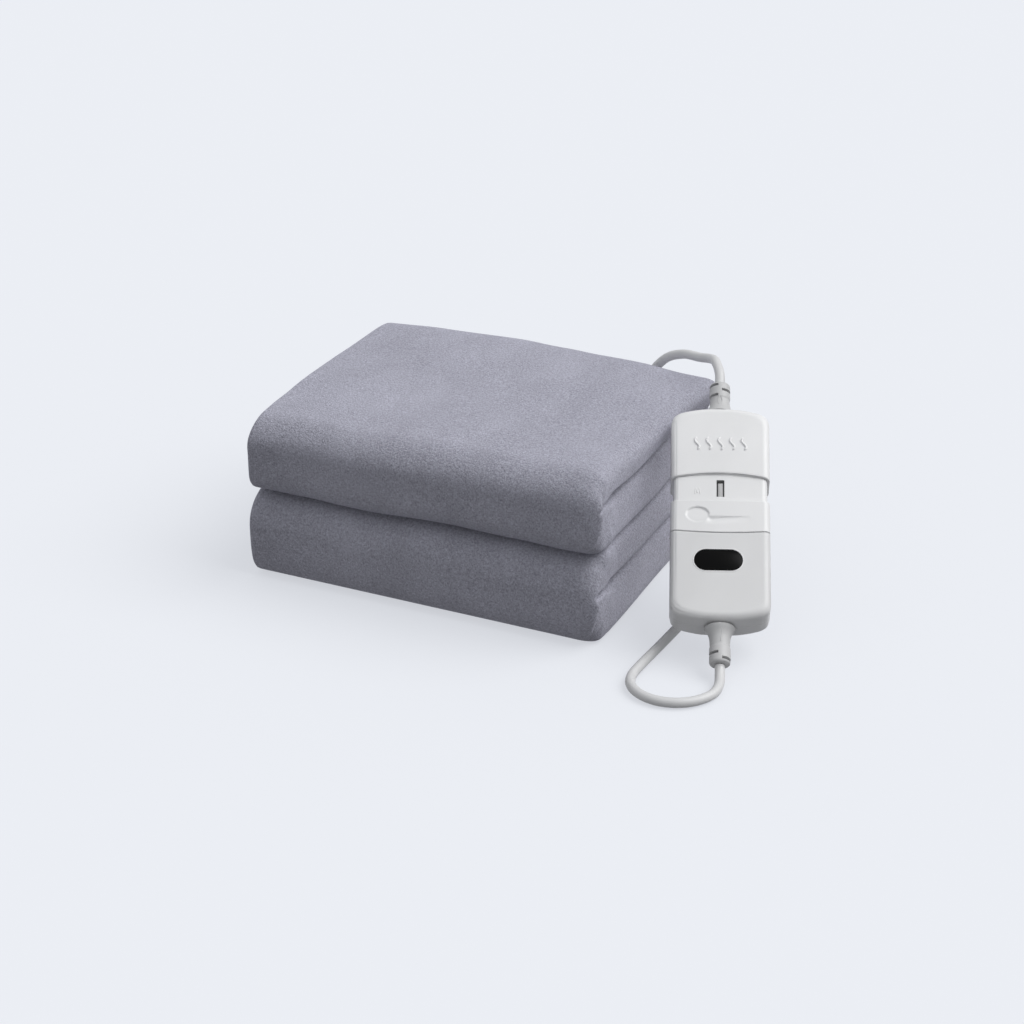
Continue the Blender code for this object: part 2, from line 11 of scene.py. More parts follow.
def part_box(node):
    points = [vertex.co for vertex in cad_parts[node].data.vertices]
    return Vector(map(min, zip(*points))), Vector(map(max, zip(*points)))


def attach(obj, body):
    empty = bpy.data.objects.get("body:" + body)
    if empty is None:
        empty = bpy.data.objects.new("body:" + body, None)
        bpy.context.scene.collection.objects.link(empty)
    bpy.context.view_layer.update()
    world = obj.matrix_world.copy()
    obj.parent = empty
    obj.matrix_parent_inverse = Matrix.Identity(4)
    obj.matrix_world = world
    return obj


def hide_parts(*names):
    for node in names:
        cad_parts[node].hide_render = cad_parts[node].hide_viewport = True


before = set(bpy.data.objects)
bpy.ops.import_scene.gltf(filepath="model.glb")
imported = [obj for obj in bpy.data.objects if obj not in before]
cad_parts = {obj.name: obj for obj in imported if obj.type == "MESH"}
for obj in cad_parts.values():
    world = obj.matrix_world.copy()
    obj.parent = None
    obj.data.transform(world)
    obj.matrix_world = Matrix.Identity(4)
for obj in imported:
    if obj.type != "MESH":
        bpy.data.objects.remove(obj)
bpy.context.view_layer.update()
noise.seed_set(11)  # without a seed, the cloth's waves would differ from run to run

# Folded stack, as the part has it: four layers, each a bundle of six plies.
STACK_WIDTH, STACK_DEPTH = 0.240, 0.196
PLIES, PLY_GAP, CREASE_GAP, MIDDLE_GAP, TOUCH_GAP = 6, 0.0004, 0.0003, 0.0004, 0.0003
TOP_LAYER, UPPER_LAYER, LOWER_LAYER, BOTTOM_LAYER = 0.0215, 0.0290, 0.0240, 0.0325
BACK_WRAP, BACK_RECESS, SIDE_BULGE = 0.0250, 0.0070, 0.0125
SOFT_TURN, FIRM_TURN, BACK_TURN, TIGHT_SIDE, SOFT_SIDE, LEFT_SIDE = 2.05, 4.2, 4.0, 5.4, 2.2, 2.3
LEFT_INSET = 0.0055
UPPER_ROLL_DEPTH, LOWER_ROLL_DEPTH = 0.0225, 0.0250
BINDING_LENGTH, UPPER_END_Y, LOWER_END_Y = 0.0095, 0.0655, 0.0620
HEIGHT = TOP_LAYER + UPPER_LAYER + LOWER_LAYER + BOTTOM_LAYER + 4 * CREASE_GAP + MIDDLE_GAP
LOWER_CREASE_Z = BOTTOM_LAYER + CREASE_GAP
UPPER_CREASE_Z = HEIGHT - TOP_LAYER - CREASE_GAP
BACK_Y = STACK_DEPTH / 2 - BACK_WRAP - BACK_RECESS
MIDDLE_Z = BOTTOM_LAYER + LOWER_LAYER + 2 * CREASE_GAP + MIDDLE_GAP / 2

# How the cloth strays from that stack: sagging shoulders, drawn-in sides, open creases and soft waves.
FRONT_DROP, LEFT_DROP, SIDE_TAPER, LAYER_TUCK, TUCK_START = 0.0030, 0.0016, 0.0055, 0.0030, 0.012
LINE_START_DEPTH, LINE_START_SPREAD, PARTING_LIP, PARTING_FADE = 0.0044, 0.0016, 0.00025, 0.007
BROAD_WAVES, BROAD_STRAY, CLOSE_WAVES, CLOSE_STRAY = 17.0, 0.0013, 43.0, 0.0005

# Controller, in its own frame: X to the right, Y up its length, Z out of its face.
CASE_HALF_WIDTH, CASE_LENGTH, CASE_THICKNESS, CASE_ROUNDING = 0.0295, 0.1450, 0.0240, 0.0040
CAP_SEAM_Y, CAP_SEAM_RISE = 0.0953, 0.0031
SLIDER_TOP_Y, SLIDER_BOTTOM_Y, SLIDER_SAG = 0.0794, 0.0592, 0.0016
TRACK_INSET, SLIDER_CLEARANCE = 0.0016, 0.0003
SLOT_WIDTH, SLOT_LENGTH, SLOT_Y, SLOT_DEPTH = 0.0046, 0.0090, 0.0870, 0.0012
WINDOW_WIDTH, WINDOW_HEIGHT, WINDOW_X, WINDOW_Y, WINDOW_DEPTH = 0.0285, 0.0140, -0.0013, 0.0390, 0.0012
RELIEF_TOP_LENGTH, RELIEF_BOTTOM_LENGTH = 0.0218, 0.0234
CASE_TURN, CASE_TILT = math.radians(23.6), math.radians(55.0)
CASE_FOOT = Vector((0.1916, -0.0777, 0.0230))

# Cords.
CORD_DIAMETER = 0.0060
FLOOR_Z = CORD_DIAMETER / 2 + 0.0005
COIL_CENTRE, COIL_MIDDLE_RADIUS, COIL_PITCH, COIL_FLOOR = Vector((0.0, 0.152, 0.0)), 0.0330, 0.0063, 0.0014
PLUG_MIDDLE = Vector((-0.1000, 0.1480, 0.0080))

CASE_RIGHT = Vector((math.cos(CASE_TURN), math.sin(CASE_TURN), 0.0))
CASE_BACK = Vector((-math.sin(CASE_TURN), math.cos(CASE_TURN), 0.0))
CASE_UP = CASE_BACK * math.sin(CASE_TILT) + Vector((0.0, 0.0, math.cos(CASE_TILT)))
CASE_OUT = CASE_RIGHT.cross(CASE_UP)
CASE = (
    Matrix.Translation(CASE_FOOT - CASE_OUT * CASE_THICKNESS / 2)
    @ Matrix((CASE_RIGHT, CASE_UP, CASE_OUT)).transposed().to_4x4()
)


# ---------------------------------------------------------------- making pieces


def add(name, data, material=None):
    obj = bpy.data.objects.new(name, data)
    bpy.context.scene.collection.objects.link(obj)
    if material is not None:
        data.materials.append(material)
    return obj


def mesh_of(name, build, place=None):
    """A mesh that build(bm) fills, with its faces turned outwards, then put in its place."""
    bm = bmesh.new()
    build(bm)
    bmesh.ops.recalc_face_normals(bm, faces=bm.faces[:])
    mesh = bpy.data.meshes.new(name)
    bm.to_mesh(mesh)
    bm.free()
    if place is not None:
        mesh.transform(place)
    return mesh


def solid(name, build, material=None, place=None):
    return add(name, mesh_of(name, build, place), material)


def cover(bm, rings, capped=True, looped=False):
    """Faces between neighbouring rings of corners, and over the first and the last ring."""
    count = len(rings[0])
    for near, far in zip(rings, rings[1:] + rings[:1] if looped else rings[1:]):
        for k in range(count):
            n = (k + 1) % count
            bm.faces.new((near[k], near[n], far[n], far[k]))
    if capped:
        bm.faces.new(rings[0])
        bm.faces.new(rings[-1])


def round_shading(mesh, degrees=35):
    mesh.shade_smooth()
    mesh.set_sharp_from_angle(angle=math.radians(degrees))


def plain_mesh(obj):
    """The object's evaluated shape as a plain mesh object of the same name, with no modifiers left."""
    bpy.context.view_layer.update()
    shape = obj.evaluated_get(bpy.context.evaluated_depsgraph_get())
    mesh = bpy.data.meshes.new_from_object(shape)
    name = obj.name
    mesh.transform(obj.matrix_world)
    bpy.data.objects.remove(obj, do_unlink=True)
    mesh.name = name
    return add(name, mesh)


def fit(obj, body="root", stands_for=()):
    """Hangs a finished piece on its body and hides the nodes that it stands for."""
    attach(obj, body)
    if stands_for:
        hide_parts(*stands_for)
    return obj


def cut(obj, cutters, operation="DIFFERENCE"):
    """Applies Boolean cuts and removes the cutters."""
    for cutter in cutters:
        step = obj.modifiers.new(cutter.name, "BOOLEAN")
        step.operation = operation
        step.object = cutter
        step.solver = "EXACT"
    made = plain_mesh(obj)
    for cutter in cutters:
        bpy.data.objects.remove(cutter, do_unlink=True)
    return made


def smooth(points, spacing):
    """Points about spacing apart on a centripetal Catmull-Rom curve through the route's points."""
    ends = [2 * points[0] - points[1], *points, 2 * points[-1] - points[-2]]
    fine = []
    for a, b, c, d in zip(ends, ends[1:], ends[2:], ends[3:]):
        times = [0.0]
        for near, far in ((a, b), (b, c), (c, d)):
            times.append(times[-1] + max((far - near).length, 1e-6) ** 0.5)
        t0, t1, t2, t3 = times
        for k in range(24):
            t = t1 + (t2 - t1) * k / 24
            ab = a + (b - a) * ((t - t0) / (t1 - t0))
            bc = b + (c - b) * ((t - t1) / (t2 - t1))
            cd = c + (d - c) * ((t - t2) / (t3 - t2))
            abc = ab + (bc - ab) * ((t - t0) / (t2 - t0))
            bcd = bc + (cd - bc) * ((t - t1) / (t3 - t1))
            fine.append(abc + (bcd - abc) * ((t - t1) / (t2 - t1)))
    fine.append(points[-1])
    along = np.concatenate([[0.0], np.cumsum([(b - a).length for a, b in zip(fine, fine[1:])])])
    wanted = np.linspace(0.0, along[-1], max(2, round(along[-1] / spacing)) + 1)
    line = np.array([tuple(p) for p in fine])
    return [Vector(row) for row in np.stack([np.interp(wanted, along, line[:, k]) for k in range(3)], axis=1)]


def path_curve(name, points, closed=False):
    curve = bpy.data.curves.new(name, "CURVE")
    curve.dimensions = "3D"
    spline = curve.splines.new("POLY")
    spline.points.add(len(points) - 1)
    for knot, point in zip(spline.points, points):
        knot.co = (*point, 1.0)
    spline.use_cyclic_u = closed
    spline.use_smooth = True
    return curve


def tube(name, points, radius, material, sides=4, closed=False):
    """A curve object with a round section along the points."""
    curve = path_curve(name, points, closed)
    curve.bevel_depth = radius
    curve.bevel_resolution = sides
    curve.use_fill_caps = not closed
    return add(name, curve, material)


# ---------------------------------------------------------------- shader effects


def put(tree, kind, inputs=None, **settings):
    """A new node with its settings, its constant inputs and its links."""
    made = tree.nodes.new(kind)
    for key, value in settings.items():
        setattr(made, key, value)
    for key, value in (inputs or {}).items():
        if isinstance(value, bpy.types.NodeSocket):
            tree.links.new(value, made.inputs[key])
        else:
            made.inputs[key].default_value = value
    return made


def arithmetic(tree, operation, first, second=0.0):
    return put(tree, "ShaderNodeMath", {0: first, 1: second}, operation=operation).outputs[0]


def plus(tree, base, other, weight):
    """base + other * weight"""
    return arithmetic(tree, "ADD", base, arithmetic(tree, "MULTIPLY", other, weight))


def effect(name, sizes, results, build):
    """A shader group: a Vector and sizes in, and out the sockets that build(tree, inputs) returns."""
    tree = bpy.data.node_groups.new(name, "ShaderNodeTree")
    tree.interface.new_socket("Vector", in_out="INPUT", socket_type="NodeSocketVector")
    for key, value in sizes.items():
        tree.interface.new_socket(key, in_out="INPUT", socket_type="NodeSocketFloat").default_value = value
    for key in results:
        tree.interface.new_socket(key, in_out="OUTPUT", socket_type="NodeSocketFloat")
    source = tree.nodes.new("NodeGroupInput")
    sink = tree.nodes.new("NodeGroupOutput")
    for key, socket in zip(results, build(tree, source.outputs)):
        tree.links.new(socket, sink.inputs[key])
    return tree


def grain(tree, vector, size, detail=2.0, roughness=0.5, stretch=None):
    """Noise whose features are about size across, in metres."""
    if stretch is not None:
        stretched = put(tree, "ShaderNodeVectorMath", {0: vector, 1: stretch}, operation="MULTIPLY")
        vector = stretched.outputs[0]
    scale = arithmetic(tree, "DIVIDE", 1.0, size)
    wanted = {"Vector": vector, "Scale": scale, "Detail": detail, "Roughness": roughness}
    return put(tree, "ShaderNodeTexNoise", wanted).outputs["Fac"]


def build_pile(tree, given):
    """Short plush: tufts that clump, single fibre ends between them, and brushed patches."""
    vector = given["Vector"]
    tufts = grain(tree, vector, given["Tuft"], 3.0, 0.62)
    fibres = grain(tree, vector, given["Fibre"], 1.0, 0.5, (1.0, 1.0, 0.55))
    brushed = grain(tree, vector, given["Patch"], 2.5, 0.55, (1.0, 0.55, 1.0))
    clumps = put(
        tree, "ShaderNodeTexVoronoi",
        {"Vector": vector, "Scale": arithmetic(tree, "DIVIDE", 1.6, given["Tuft"])},
        feature="SMOOTH_F1",
    ).outputs["Distance"]
    tone = arithmetic(tree, "MULTIPLY", tufts, 0.52)
    tone = plus(tree, plus(tree, tone, fibres, 0.36), brushed, 0.16)
    height = plus(tree, plus(tree, tufts, fibres, 0.5), clumps, -0.35)
    return tone, height


def build_moulding(tree, given):
    """Moulded plastic: spark-eroded grain, slow flow marks and finger marks."""
    vector = given["Vector"]
    fine = grain(tree, vector, given["Grain"], 1.0)
    flow = grain(tree, vector, given["Flow"], 2.0, 0.5, (1.0, 0.35, 1.0))
    marks = grain(tree, vector, arithmetic(tree, "MULTIPLY", given["Flow"], 0.35), 3.0, 0.6)
    marks = put(tree, "ShaderNodeMapRange", {"Value": marks, "From Min": 0.52, "From Max": 0.72}).outputs[0]
    return flow, fine, marks


def build_weave(tree, given):
    """Ribs across a tape and the threads over them, on the piece's own unrolled lengths."""
    parts = put(tree, "ShaderNodeSeparateXYZ", {"Vector": given["Vector"]}).outputs

    def wave(socket, pitch):
        turns = arithmetic(tree, "DIVIDE", arithmetic(tree, "MULTIPLY", socket, math.tau), pitch)
        return arithmetic(tree, "MULTIPLY_ADD", arithmetic(tree, "SINE", turns), 0.5)

    ribs = wave(parts["X"], given["Rib"])
    threads = wave(parts["Y"], given["Thread"])
    uneven = grain(tree, given["Vector"], arithmetic(tree, "MULTIPLY", given["Rib"], 2.2), 2.0)
    height = plus(tree, ribs, threads, 0.4)
    tone = plus(tree, arithmetic(tree, "MULTIPLY", height, 0.4), uneven, 0.5)
    return tone, height


PILE = effect("plush_pile", {"Tuft": 0.0016, "Fibre": 0.0005, "Patch": 0.035}, ("Tone", "Height"), build_pile)
MOULDING = effect(
    "moulded_surface", {"Grain": 0.0002, "Flow": 0.03}, ("Flow", "Grain", "Marks"), build_moulding
)
WEAVE = effect("tape_weave", {"Rib": 0.0012, "Thread": 0.0006}, ("Tone", "Height"), build_weave)


# ---------------------------------------------------------------- materials


def material_with(name, group, sizes, coordinates="Object"):
    """A material with a Principled shader and one effect, ready to be linked."""
    material = bpy.data.materials.new(name)
    material.use_nodes = True
    tree = material.node_tree
    shader = tree.nodes["Principled BSDF"]
    vector = put(tree, "ShaderNodeTexCoord").outputs[coordinates]
    made = put(tree, "ShaderNodeGroup", node_tree=group)
    tree.links.new(vector, made.inputs["Vector"])
    for key, value in sizes.items():
        made.inputs[key].default_value = value
    return material, tree, shader, made.outputs


def ramp(tree, value, stops):
    """Colours along a value: stops are rows of (place, colour)."""
    made = put(tree, "ShaderNodeValToRGB", {"Fac": value})
    bar = made.color_ramp.elements
    while len(bar) < len(stops):
        bar.new(0.5)
    for element, (place, colour) in zip(bar, stops):
        element.position = place
        element.color = (*colour, 1.0)
    return made.outputs["Color"]


def bump(tree, shader, height, strength, distance):
    made = put(tree, "ShaderNodeBump", {"Height": height, "Strength": strength, "Distance": distance})
    tree.links.new(made.outputs["Normal"], shader.inputs["Normal"])


def set_inputs(shader, **values):
    for key, value in values.items():
        shader.inputs[key.replace("_", " ")].default_value = value


def vary(tree, shader, key, value, low, high):
    made = put(tree, "ShaderNodeMapRange", {"Value": value, "To Min": low, "To Max": high})
    tree.links.new(made.outputs[0], shader.inputs[key])


def fleece_material():
    sizes = {"Tuft": 0.0013, "Fibre": 0.0005}
    material, tree, shader, pile = material_with("grey_lavender_plush", PILE, sizes)
    colour = ramp(
        tree, pile["Tone"],
        [(0.38, (0.212, 0.210, 0.245)), (0.53, (0.333, 0.332, 0.386)), (0.68, (0.474, 0.472, 0.550))],
    )
    tree.links.new(colour, shader.inputs["Base Color"])
    set_inputs(shader, Roughness=0.92, Specular_IOR_Level=0.15, Sheen_Weight=0.35, Sheen_Roughness=0.45)
    shader.inputs["Sheen Tint"].default_value = (0.86, 0.85, 1.0, 1.0)
    bump(tree, shader, pile["Height"], 0.75, 0.0007)
    return material


def tape_material(name, dark, light, rib, thread, sheen):
    material, tree, shader, weave = material_with(name, WEAVE, {"Rib": rib, "Thread": thread}, "UV")
    tree.links.new(ramp(tree, weave["Tone"], [(0.15, dark), (0.75, light)]), shader.inputs["Base Color"])
    set_inputs(shader, Roughness=0.7, Sheen_Weight=sheen, Sheen_Roughness=0.35)
    bump(tree, shader, weave["Height"], 0.6, 0.00025)
    return material


def moulded_material(name, colour, rough, grain_size, grain_height, specular=0.5):
    material, tree, shader, surface = material_with(name, MOULDING, {"Grain": grain_size})
    darker = tuple(c * 0.94 for c in colour)
    tree.links.new(ramp(tree, surface["Flow"], [(0.3, darker), (0.7, colour)]), shader.inputs["Base Color"])
    vary(tree, shader, "Roughness", surface["Marks"], rough, rough * 0.84)
    set_inputs(shader, Specular_IOR_Level=specular)
    bump(tree, shader, surface["Grain"], 0.35, grain_height)
    return material


def metal_material():
    material, tree, shader, surface = material_with("plated_pin", MOULDING, {"Grain": 0.0003})
    tree.links.new(
        ramp(tree, surface["Flow"], [(0.3, (0.62, 0.60, 0.54)), (0.7, (0.78, 0.76, 0.70))]),
        shader.inputs["Base Color"],
    )
    set_inputs(shader, Metallic=1.0)
    vary(tree, shader, "Roughness", surface["Marks"], 0.22, 0.38)
    bump(tree, shader, surface["Grain"], 0.2, 0.00003)
    return material


FLEECE = fleece_material()
TAPE = tape_material("pale_lavender_tape", (0.50, 0.49, 0.62), (0.76, 0.75, 0.88), 0.0011, 0.0005, 0.3)
STRAP = tape_material("dark_strap", (0.045, 0.045, 0.050), (0.13, 0.13, 0.14), 0.0013, 0.0008, 0.2)
THREAD = moulded_material("pale_thread", (0.78, 0.77, 0.88), 0.6, 0.0002, 0.00008)
WHITE = moulded_material("satin_white_moulding", (0.74, 0.74, 0.74), 0.40, 0.00018, 0.00004)
LOWER_WHITE = moulded_material("lower_satin_moulding", (0.64, 0.64, 0.64), 0.42, 0.00018, 0.00004)
OFF_WHITE = moulded_material("soft_off_white_moulding", (0.50, 0.50, 0.50), 0.50, 0.00022, 0.00006)
PALE_GREY = moulded_material("pale_grey_strip", (0.48, 0.48, 0.48), 0.42, 0.0002, 0.00005)
BLACK_GLOSS = moulded_material("black_window", (0.002, 0.002, 0.002), 0.22, 0.0006, 0.00001, specular=0.1)
# Black matt: the pin guards' own colour, and painted shade on the slot's walls.
BLACK_MATT = moulded_material("black_slot_liner", (0.012, 0.012, 0.012), 0.5, 0.0002, 0.00004)
JACKET = moulded_material("white_cord_jacket", (0.62, 0.62, 0.62), 0.44, 0.0004, 0.00006)
METAL = metal_material()


# ---------------------------------------------------------------- camera


def make_camera():
    lens = bpy.data.cameras.new("camera")
    lens.sensor_width = 36.0
    lens.lens = 105.47
    lens.clip_start, lens.clip_end = 0.05, 100.0
    camera = add("camera", lens)
    camera.location = (0.76356, -1.52693, 0.83280)
    camera.rotation_euler = (math.radians(90 - 25.3042), 0.0, math.radians(26.0009))
    bpy.context.scene.camera = camera


# ---------------------------------------------------------------- cords


def case_point(y):
    """A point on the controller's long axis."""
    return CASE @ Vector((0.0, y, CASE_THICKNESS / 2))


def floor_route(rows):
    return [Vector((x, y, FLOOR_Z if z is None else z)) for x, y, z in rows]


def mains_route():
    """From the controller's lower end, round and under it, and along the stack's side to the coil behind."""
    start = case_point(-RELIEF_BOTTOM_LENGTH - 2 * TOUCH_GAP)
    rows = [
        (0.2046, -0.1092, 0.0042), (0.2052, -0.1184, None), (0.2018, -0.1276, None), (0.1960, -0.1345, None),
        (0.1882, -0.1390, None), (0.1794, -0.1406, None), (0.1705, -0.1390, None), (0.1627, -0.1345, None),
        (0.1569, -0.1276, None), (0.1541, -0.1184, None), (0.1536, -0.1040, None), (0.1541, -0.0800, None),
        (0.1544, -0.0500, None), (0.1542, -0.0150, None), (0.1531, 0.0200, None), (0.1512, 0.0600, None),
        (0.1480, 0.0900, None), (0.1425, 0.1130, None), (0.1330, 0.1340, None), (0.1200, 0.1540, None),
        (0.1050, 0.1720, None), (0.0850, 0.1870, None), (0.0610, 0.1955, None), (0.0380, 0.1968, 0.0044),
        (0.0180, 0.1945, 0.0048),
    ]  # fmt: skip
    return [start, start - CASE_UP * 0.006] + floor_route(rows)


def lead_route():
    """From the controller's upper end, over the stack's back corner, down behind it and into its side."""
    start = case_point(CASE_LENGTH + RELIEF_TOP_LENGTH + 2 * TOUCH_GAP)
    rows = [
        (0.1270, 0.0650, 0.1262), (0.1190, 0.0770, 0.1228), (0.1075, 0.0870, 0.1180),
        (0.0930, 0.0955, 0.1145), (0.0790, 0.1015, 0.1075), (0.0680, 0.1048, 0.0950),
        (0.0610, 0.1062, 0.0780), (0.0575, 0.1075, 0.0580), (0.0570, 0.1085, 0.0400),
        (0.0565, 0.1130, 0.0215), (0.0570, 0.1230, 0.0085), (0.0588, 0.1350, None),
        (0.0662, 0.1462, None), (0.0795, 0.1512, None), (0.0935, 0.1480, None), (0.1050, 0.1385, None),
        (0.1170, 0.1290, None), (0.1290, 0.1195, 0.0070), (0.1390, 0.1090, 0.0140),
        (0.1455, 0.0995, 0.0215), (0.1475, 0.0905, 0.0285), (0.1450, 0.0798, 0.0370),
        (0.1370, 0.0724, 0.0432), (0.1280, 0.0695, 0.0457), (0.1204, 0.0692, 0.0460),
    ]  # fmt: skip
    return [start, start + CASE_UP * 0.008] + floor_route(rows)


def tail_route():
    """The mains lead's last stretch, from the coil's top turn at a tangent into the plug."""
    rows = [
        (-0.0455, 0.1589, 0.0100), (-0.0508, 0.1535, 0.0094), (-0.0558, 0.1504, 0.0088),
        (-0.0614, 0.1486, 0.0083), (-0.0668, 0.1480, 0.0080), (-0.0738, 0.1480, 0.0080),
    ]  # fmt: skip
    return floor_route(rows)


def coil_route():
    """Five turns: from outer to inner on the floor, then back out on top, with short steps between."""
    radii = [COIL_MIDDLE_RADIUS + COIL_PITCH * column for column in (1, 0, -1, -1, 0, 1)]
    low = COIL_FLOOR + CORD_DIAMETER / 2
    heights = [low] * 3 + [low + CORD_DIAMETER + 0.0002] * 3
    step_from, step_to, start, stop, every = 300, 350, 95, 5 * 360 + 140, 15
    points = []
    for degrees in range(start, stop + 1, every):
        turn, within = divmod(degrees - step_from, 360)
        share = min(1.0, within / (step_to - step_from))
        share = share * share * (3 - 2 * share)
        old, new = max(turn, 0), turn + 1
        radius = radii[old] * (1 - share) + radii[new] * share if turn >= 0 else radii[0]
        height = heights[old] * (1 - share) + heights[new] * share if turn >= 0 else heights[0]
        angle = math.radians(degrees)
        points.append(COIL_CENTRE + Vector((radius * math.cos(angle), radius * math.sin(angle), height)))
    return points


def make_cords():
    mains = mains_route() + coil_route() + tail_route()
    mains_cord = tube("mains_cord", smooth(mains, 0.0030), CORD_DIAMETER / 2, JACKET)
    blanket_cord = tube("blanket_cord", smooth(lead_route(), 0.0030), CORD_DIAMETER / 2, JACKET)
    return mains_cord, blanket_cord


# ---------------------------------------------------------------- cloth


def power(value, squareness):
    """One coordinate of a superellipse, from its sine or cosine."""
    return math.copysign(abs(value) ** (2.0 / squareness), value)


def even_angles(count, reach, above, below, high, low):
    """Rising angles whose points lie evenly on a curve of two squarenesses, without its ends."""
    share = np.linspace(0.0, 1.0, 500)
    quarter = math.pi / 2 * share**4 / (share**4 + (1 - share) ** 4)
    fine = np.concatenate([-quarter[::-1], quarter[1:]])
    square = np.where(fine >= 0, high, low)
    half = np.where(fine >= 0, above, below)
    out = reach * np.abs(np.cos(fine)) ** (2 / square)
    up = half * np.sign(fine) * np.abs(np.sin(fine)) ** (2 / square)
    along = np.concatenate([[0.0], np.cumsum(np.hypot(np.diff(out), np.diff(up)))])
    wanted = np.linspace(0.0, along[-1], count + 2)[1:-1]
    return [float(angle) for angle in np.interp(wanted, along, fine)]


def turn_stations(count, rising, centre, front, gap, layers, recess, depth, squares, sides):
    """The stations of one fold, without its two ends. Pairs are (below, above) the fold's middle."""
    below, above = layers
    angles = even_angles(count, recess + depth, gap + above, gap + below, squares[1], squares[0])
    stations = []
    for angle in angles if rising else reversed(angles):
        side = sides[0] + (sides[1] - sides[0]) * smooth_share(angle, 0.6, math.pi / 2)
        side += (SOFT_SIDE - side) * smooth_share(math.cos(angle), 0.15, 0.55) * (front < 0)
        stations.append({
            "kind": "turn", "angle": angle, "centre": centre, "front": front, "gap": gap, "below": below,
            "above": above, "recess": recess, "depth": depth, "squares": squares, "thickness": depth,
            "side": side,
        })  # fmt: skip
    return stations


def run(y_from, y_to, inner_z, way, thickness, count, side=TIGHT_SIDE, front_pitch=None):
    """The stations of one flat layer, closer together near its front end where front_pitch says so."""
    places = np.linspace(0.0, 1.0, count)
    length = abs(y_to - y_from)
    if front_pitch is not None:
        first = front_pitch * (count - 1) / length
        places = first * places + (1 - first) * places**2
        if y_to < y_from:
            places = 1 - places[::-1]
    return [
        {
            "kind": "flat", "y": y_from + (y_to - y_from) * float(share), "inner_z": inner_z, "way": way,
            "thickness": thickness, "side": side,
        }
        for share in places
    ]  # fmt: skip


def ribbon_stations():
    """The bundle's way from the upper free end to the front, over the top, down the back and in again."""
    upper_front = -STACK_DEPTH / 2 + UPPER_ROLL_DEPTH
    lower_front = -STACK_DEPTH / 2 + LOWER_ROLL_DEPTH
    upper_start = UPPER_END_Y - BINDING_LENGTH - TOUCH_GAP
    lower_stop = LOWER_END_Y - BINDING_LENGTH - TOUCH_GAP
    top_inner, bottom_inner = UPPER_CREASE_Z + CREASE_GAP, LOWER_CREASE_Z - CREASE_GAP
    back_centre = (BACK_Y, (top_inner + bottom_inner) / 2)
    stations = run(
        upper_start, upper_front, UPPER_CREASE_Z - CREASE_GAP, -1, UPPER_LAYER, 30, front_pitch=0.0014
    )
    stations += turn_stations(
        68, True, (upper_front, UPPER_CREASE_Z), -1, CREASE_GAP, (UPPER_LAYER, TOP_LAYER), 0.0008,
        UPPER_ROLL_DEPTH - 0.0008, (FIRM_TURN, SOFT_TURN), (TIGHT_SIDE, SOFT_SIDE),
    )  # fmt: skip
    stations += run(upper_front, BACK_Y, top_inner, 1, TOP_LAYER, 46, SOFT_SIDE, 0.0016)
    stations += turn_stations(
        42, False, back_centre, 1, (top_inner - bottom_inner) / 2, (BOTTOM_LAYER, TOP_LAYER), BACK_RECESS,
        BACK_WRAP, (BACK_TURN, BACK_TURN), (TIGHT_SIDE, SOFT_SIDE),
    )  # fmt: skip
    stations += run(BACK_Y, lower_front, bottom_inner, -1, BOTTOM_LAYER, 28, front_pitch=0.0020)
    stations += turn_stations(
        68, True, (lower_front, LOWER_CREASE_Z), -1, CREASE_GAP, (BOTTOM_LAYER, LOWER_LAYER), 0.0008,
        LOWER_ROLL_DEPTH - 0.0008, (FIRM_TURN, SOFT_TURN), (TIGHT_SIDE, TIGHT_SIDE),
    )  # fmt: skip
    stations += run(
        lower_front, lower_stop, LOWER_CREASE_Z + CREASE_GAP, 1, LOWER_LAYER, 30, front_pitch=0.0014
    )
    return stations


def place_level(station, level):
    """(y, z) of a level of the bundle, 0 on its inner face and 1 on its outer face."""
    if station["kind"] == "flat":
        return station["y"], station["inner_z"] + station["way"] * level * station["thickness"]
    sine, cosine = math.sin(station["angle"]), math.cos(station["angle"])
    thickness, square = station["below"], station["squares"][0]
    if sine >= 0:
        thickness, square = station["above"], station["squares"][1]
    reach = station["recess"] + level * station["depth"]
    half = station["gap"] + level * thickness
    y = station["centre"][0] + station["front"] * reach * power(cosine, square)
    return y, station["centre"][1] + half * power(sine, square)


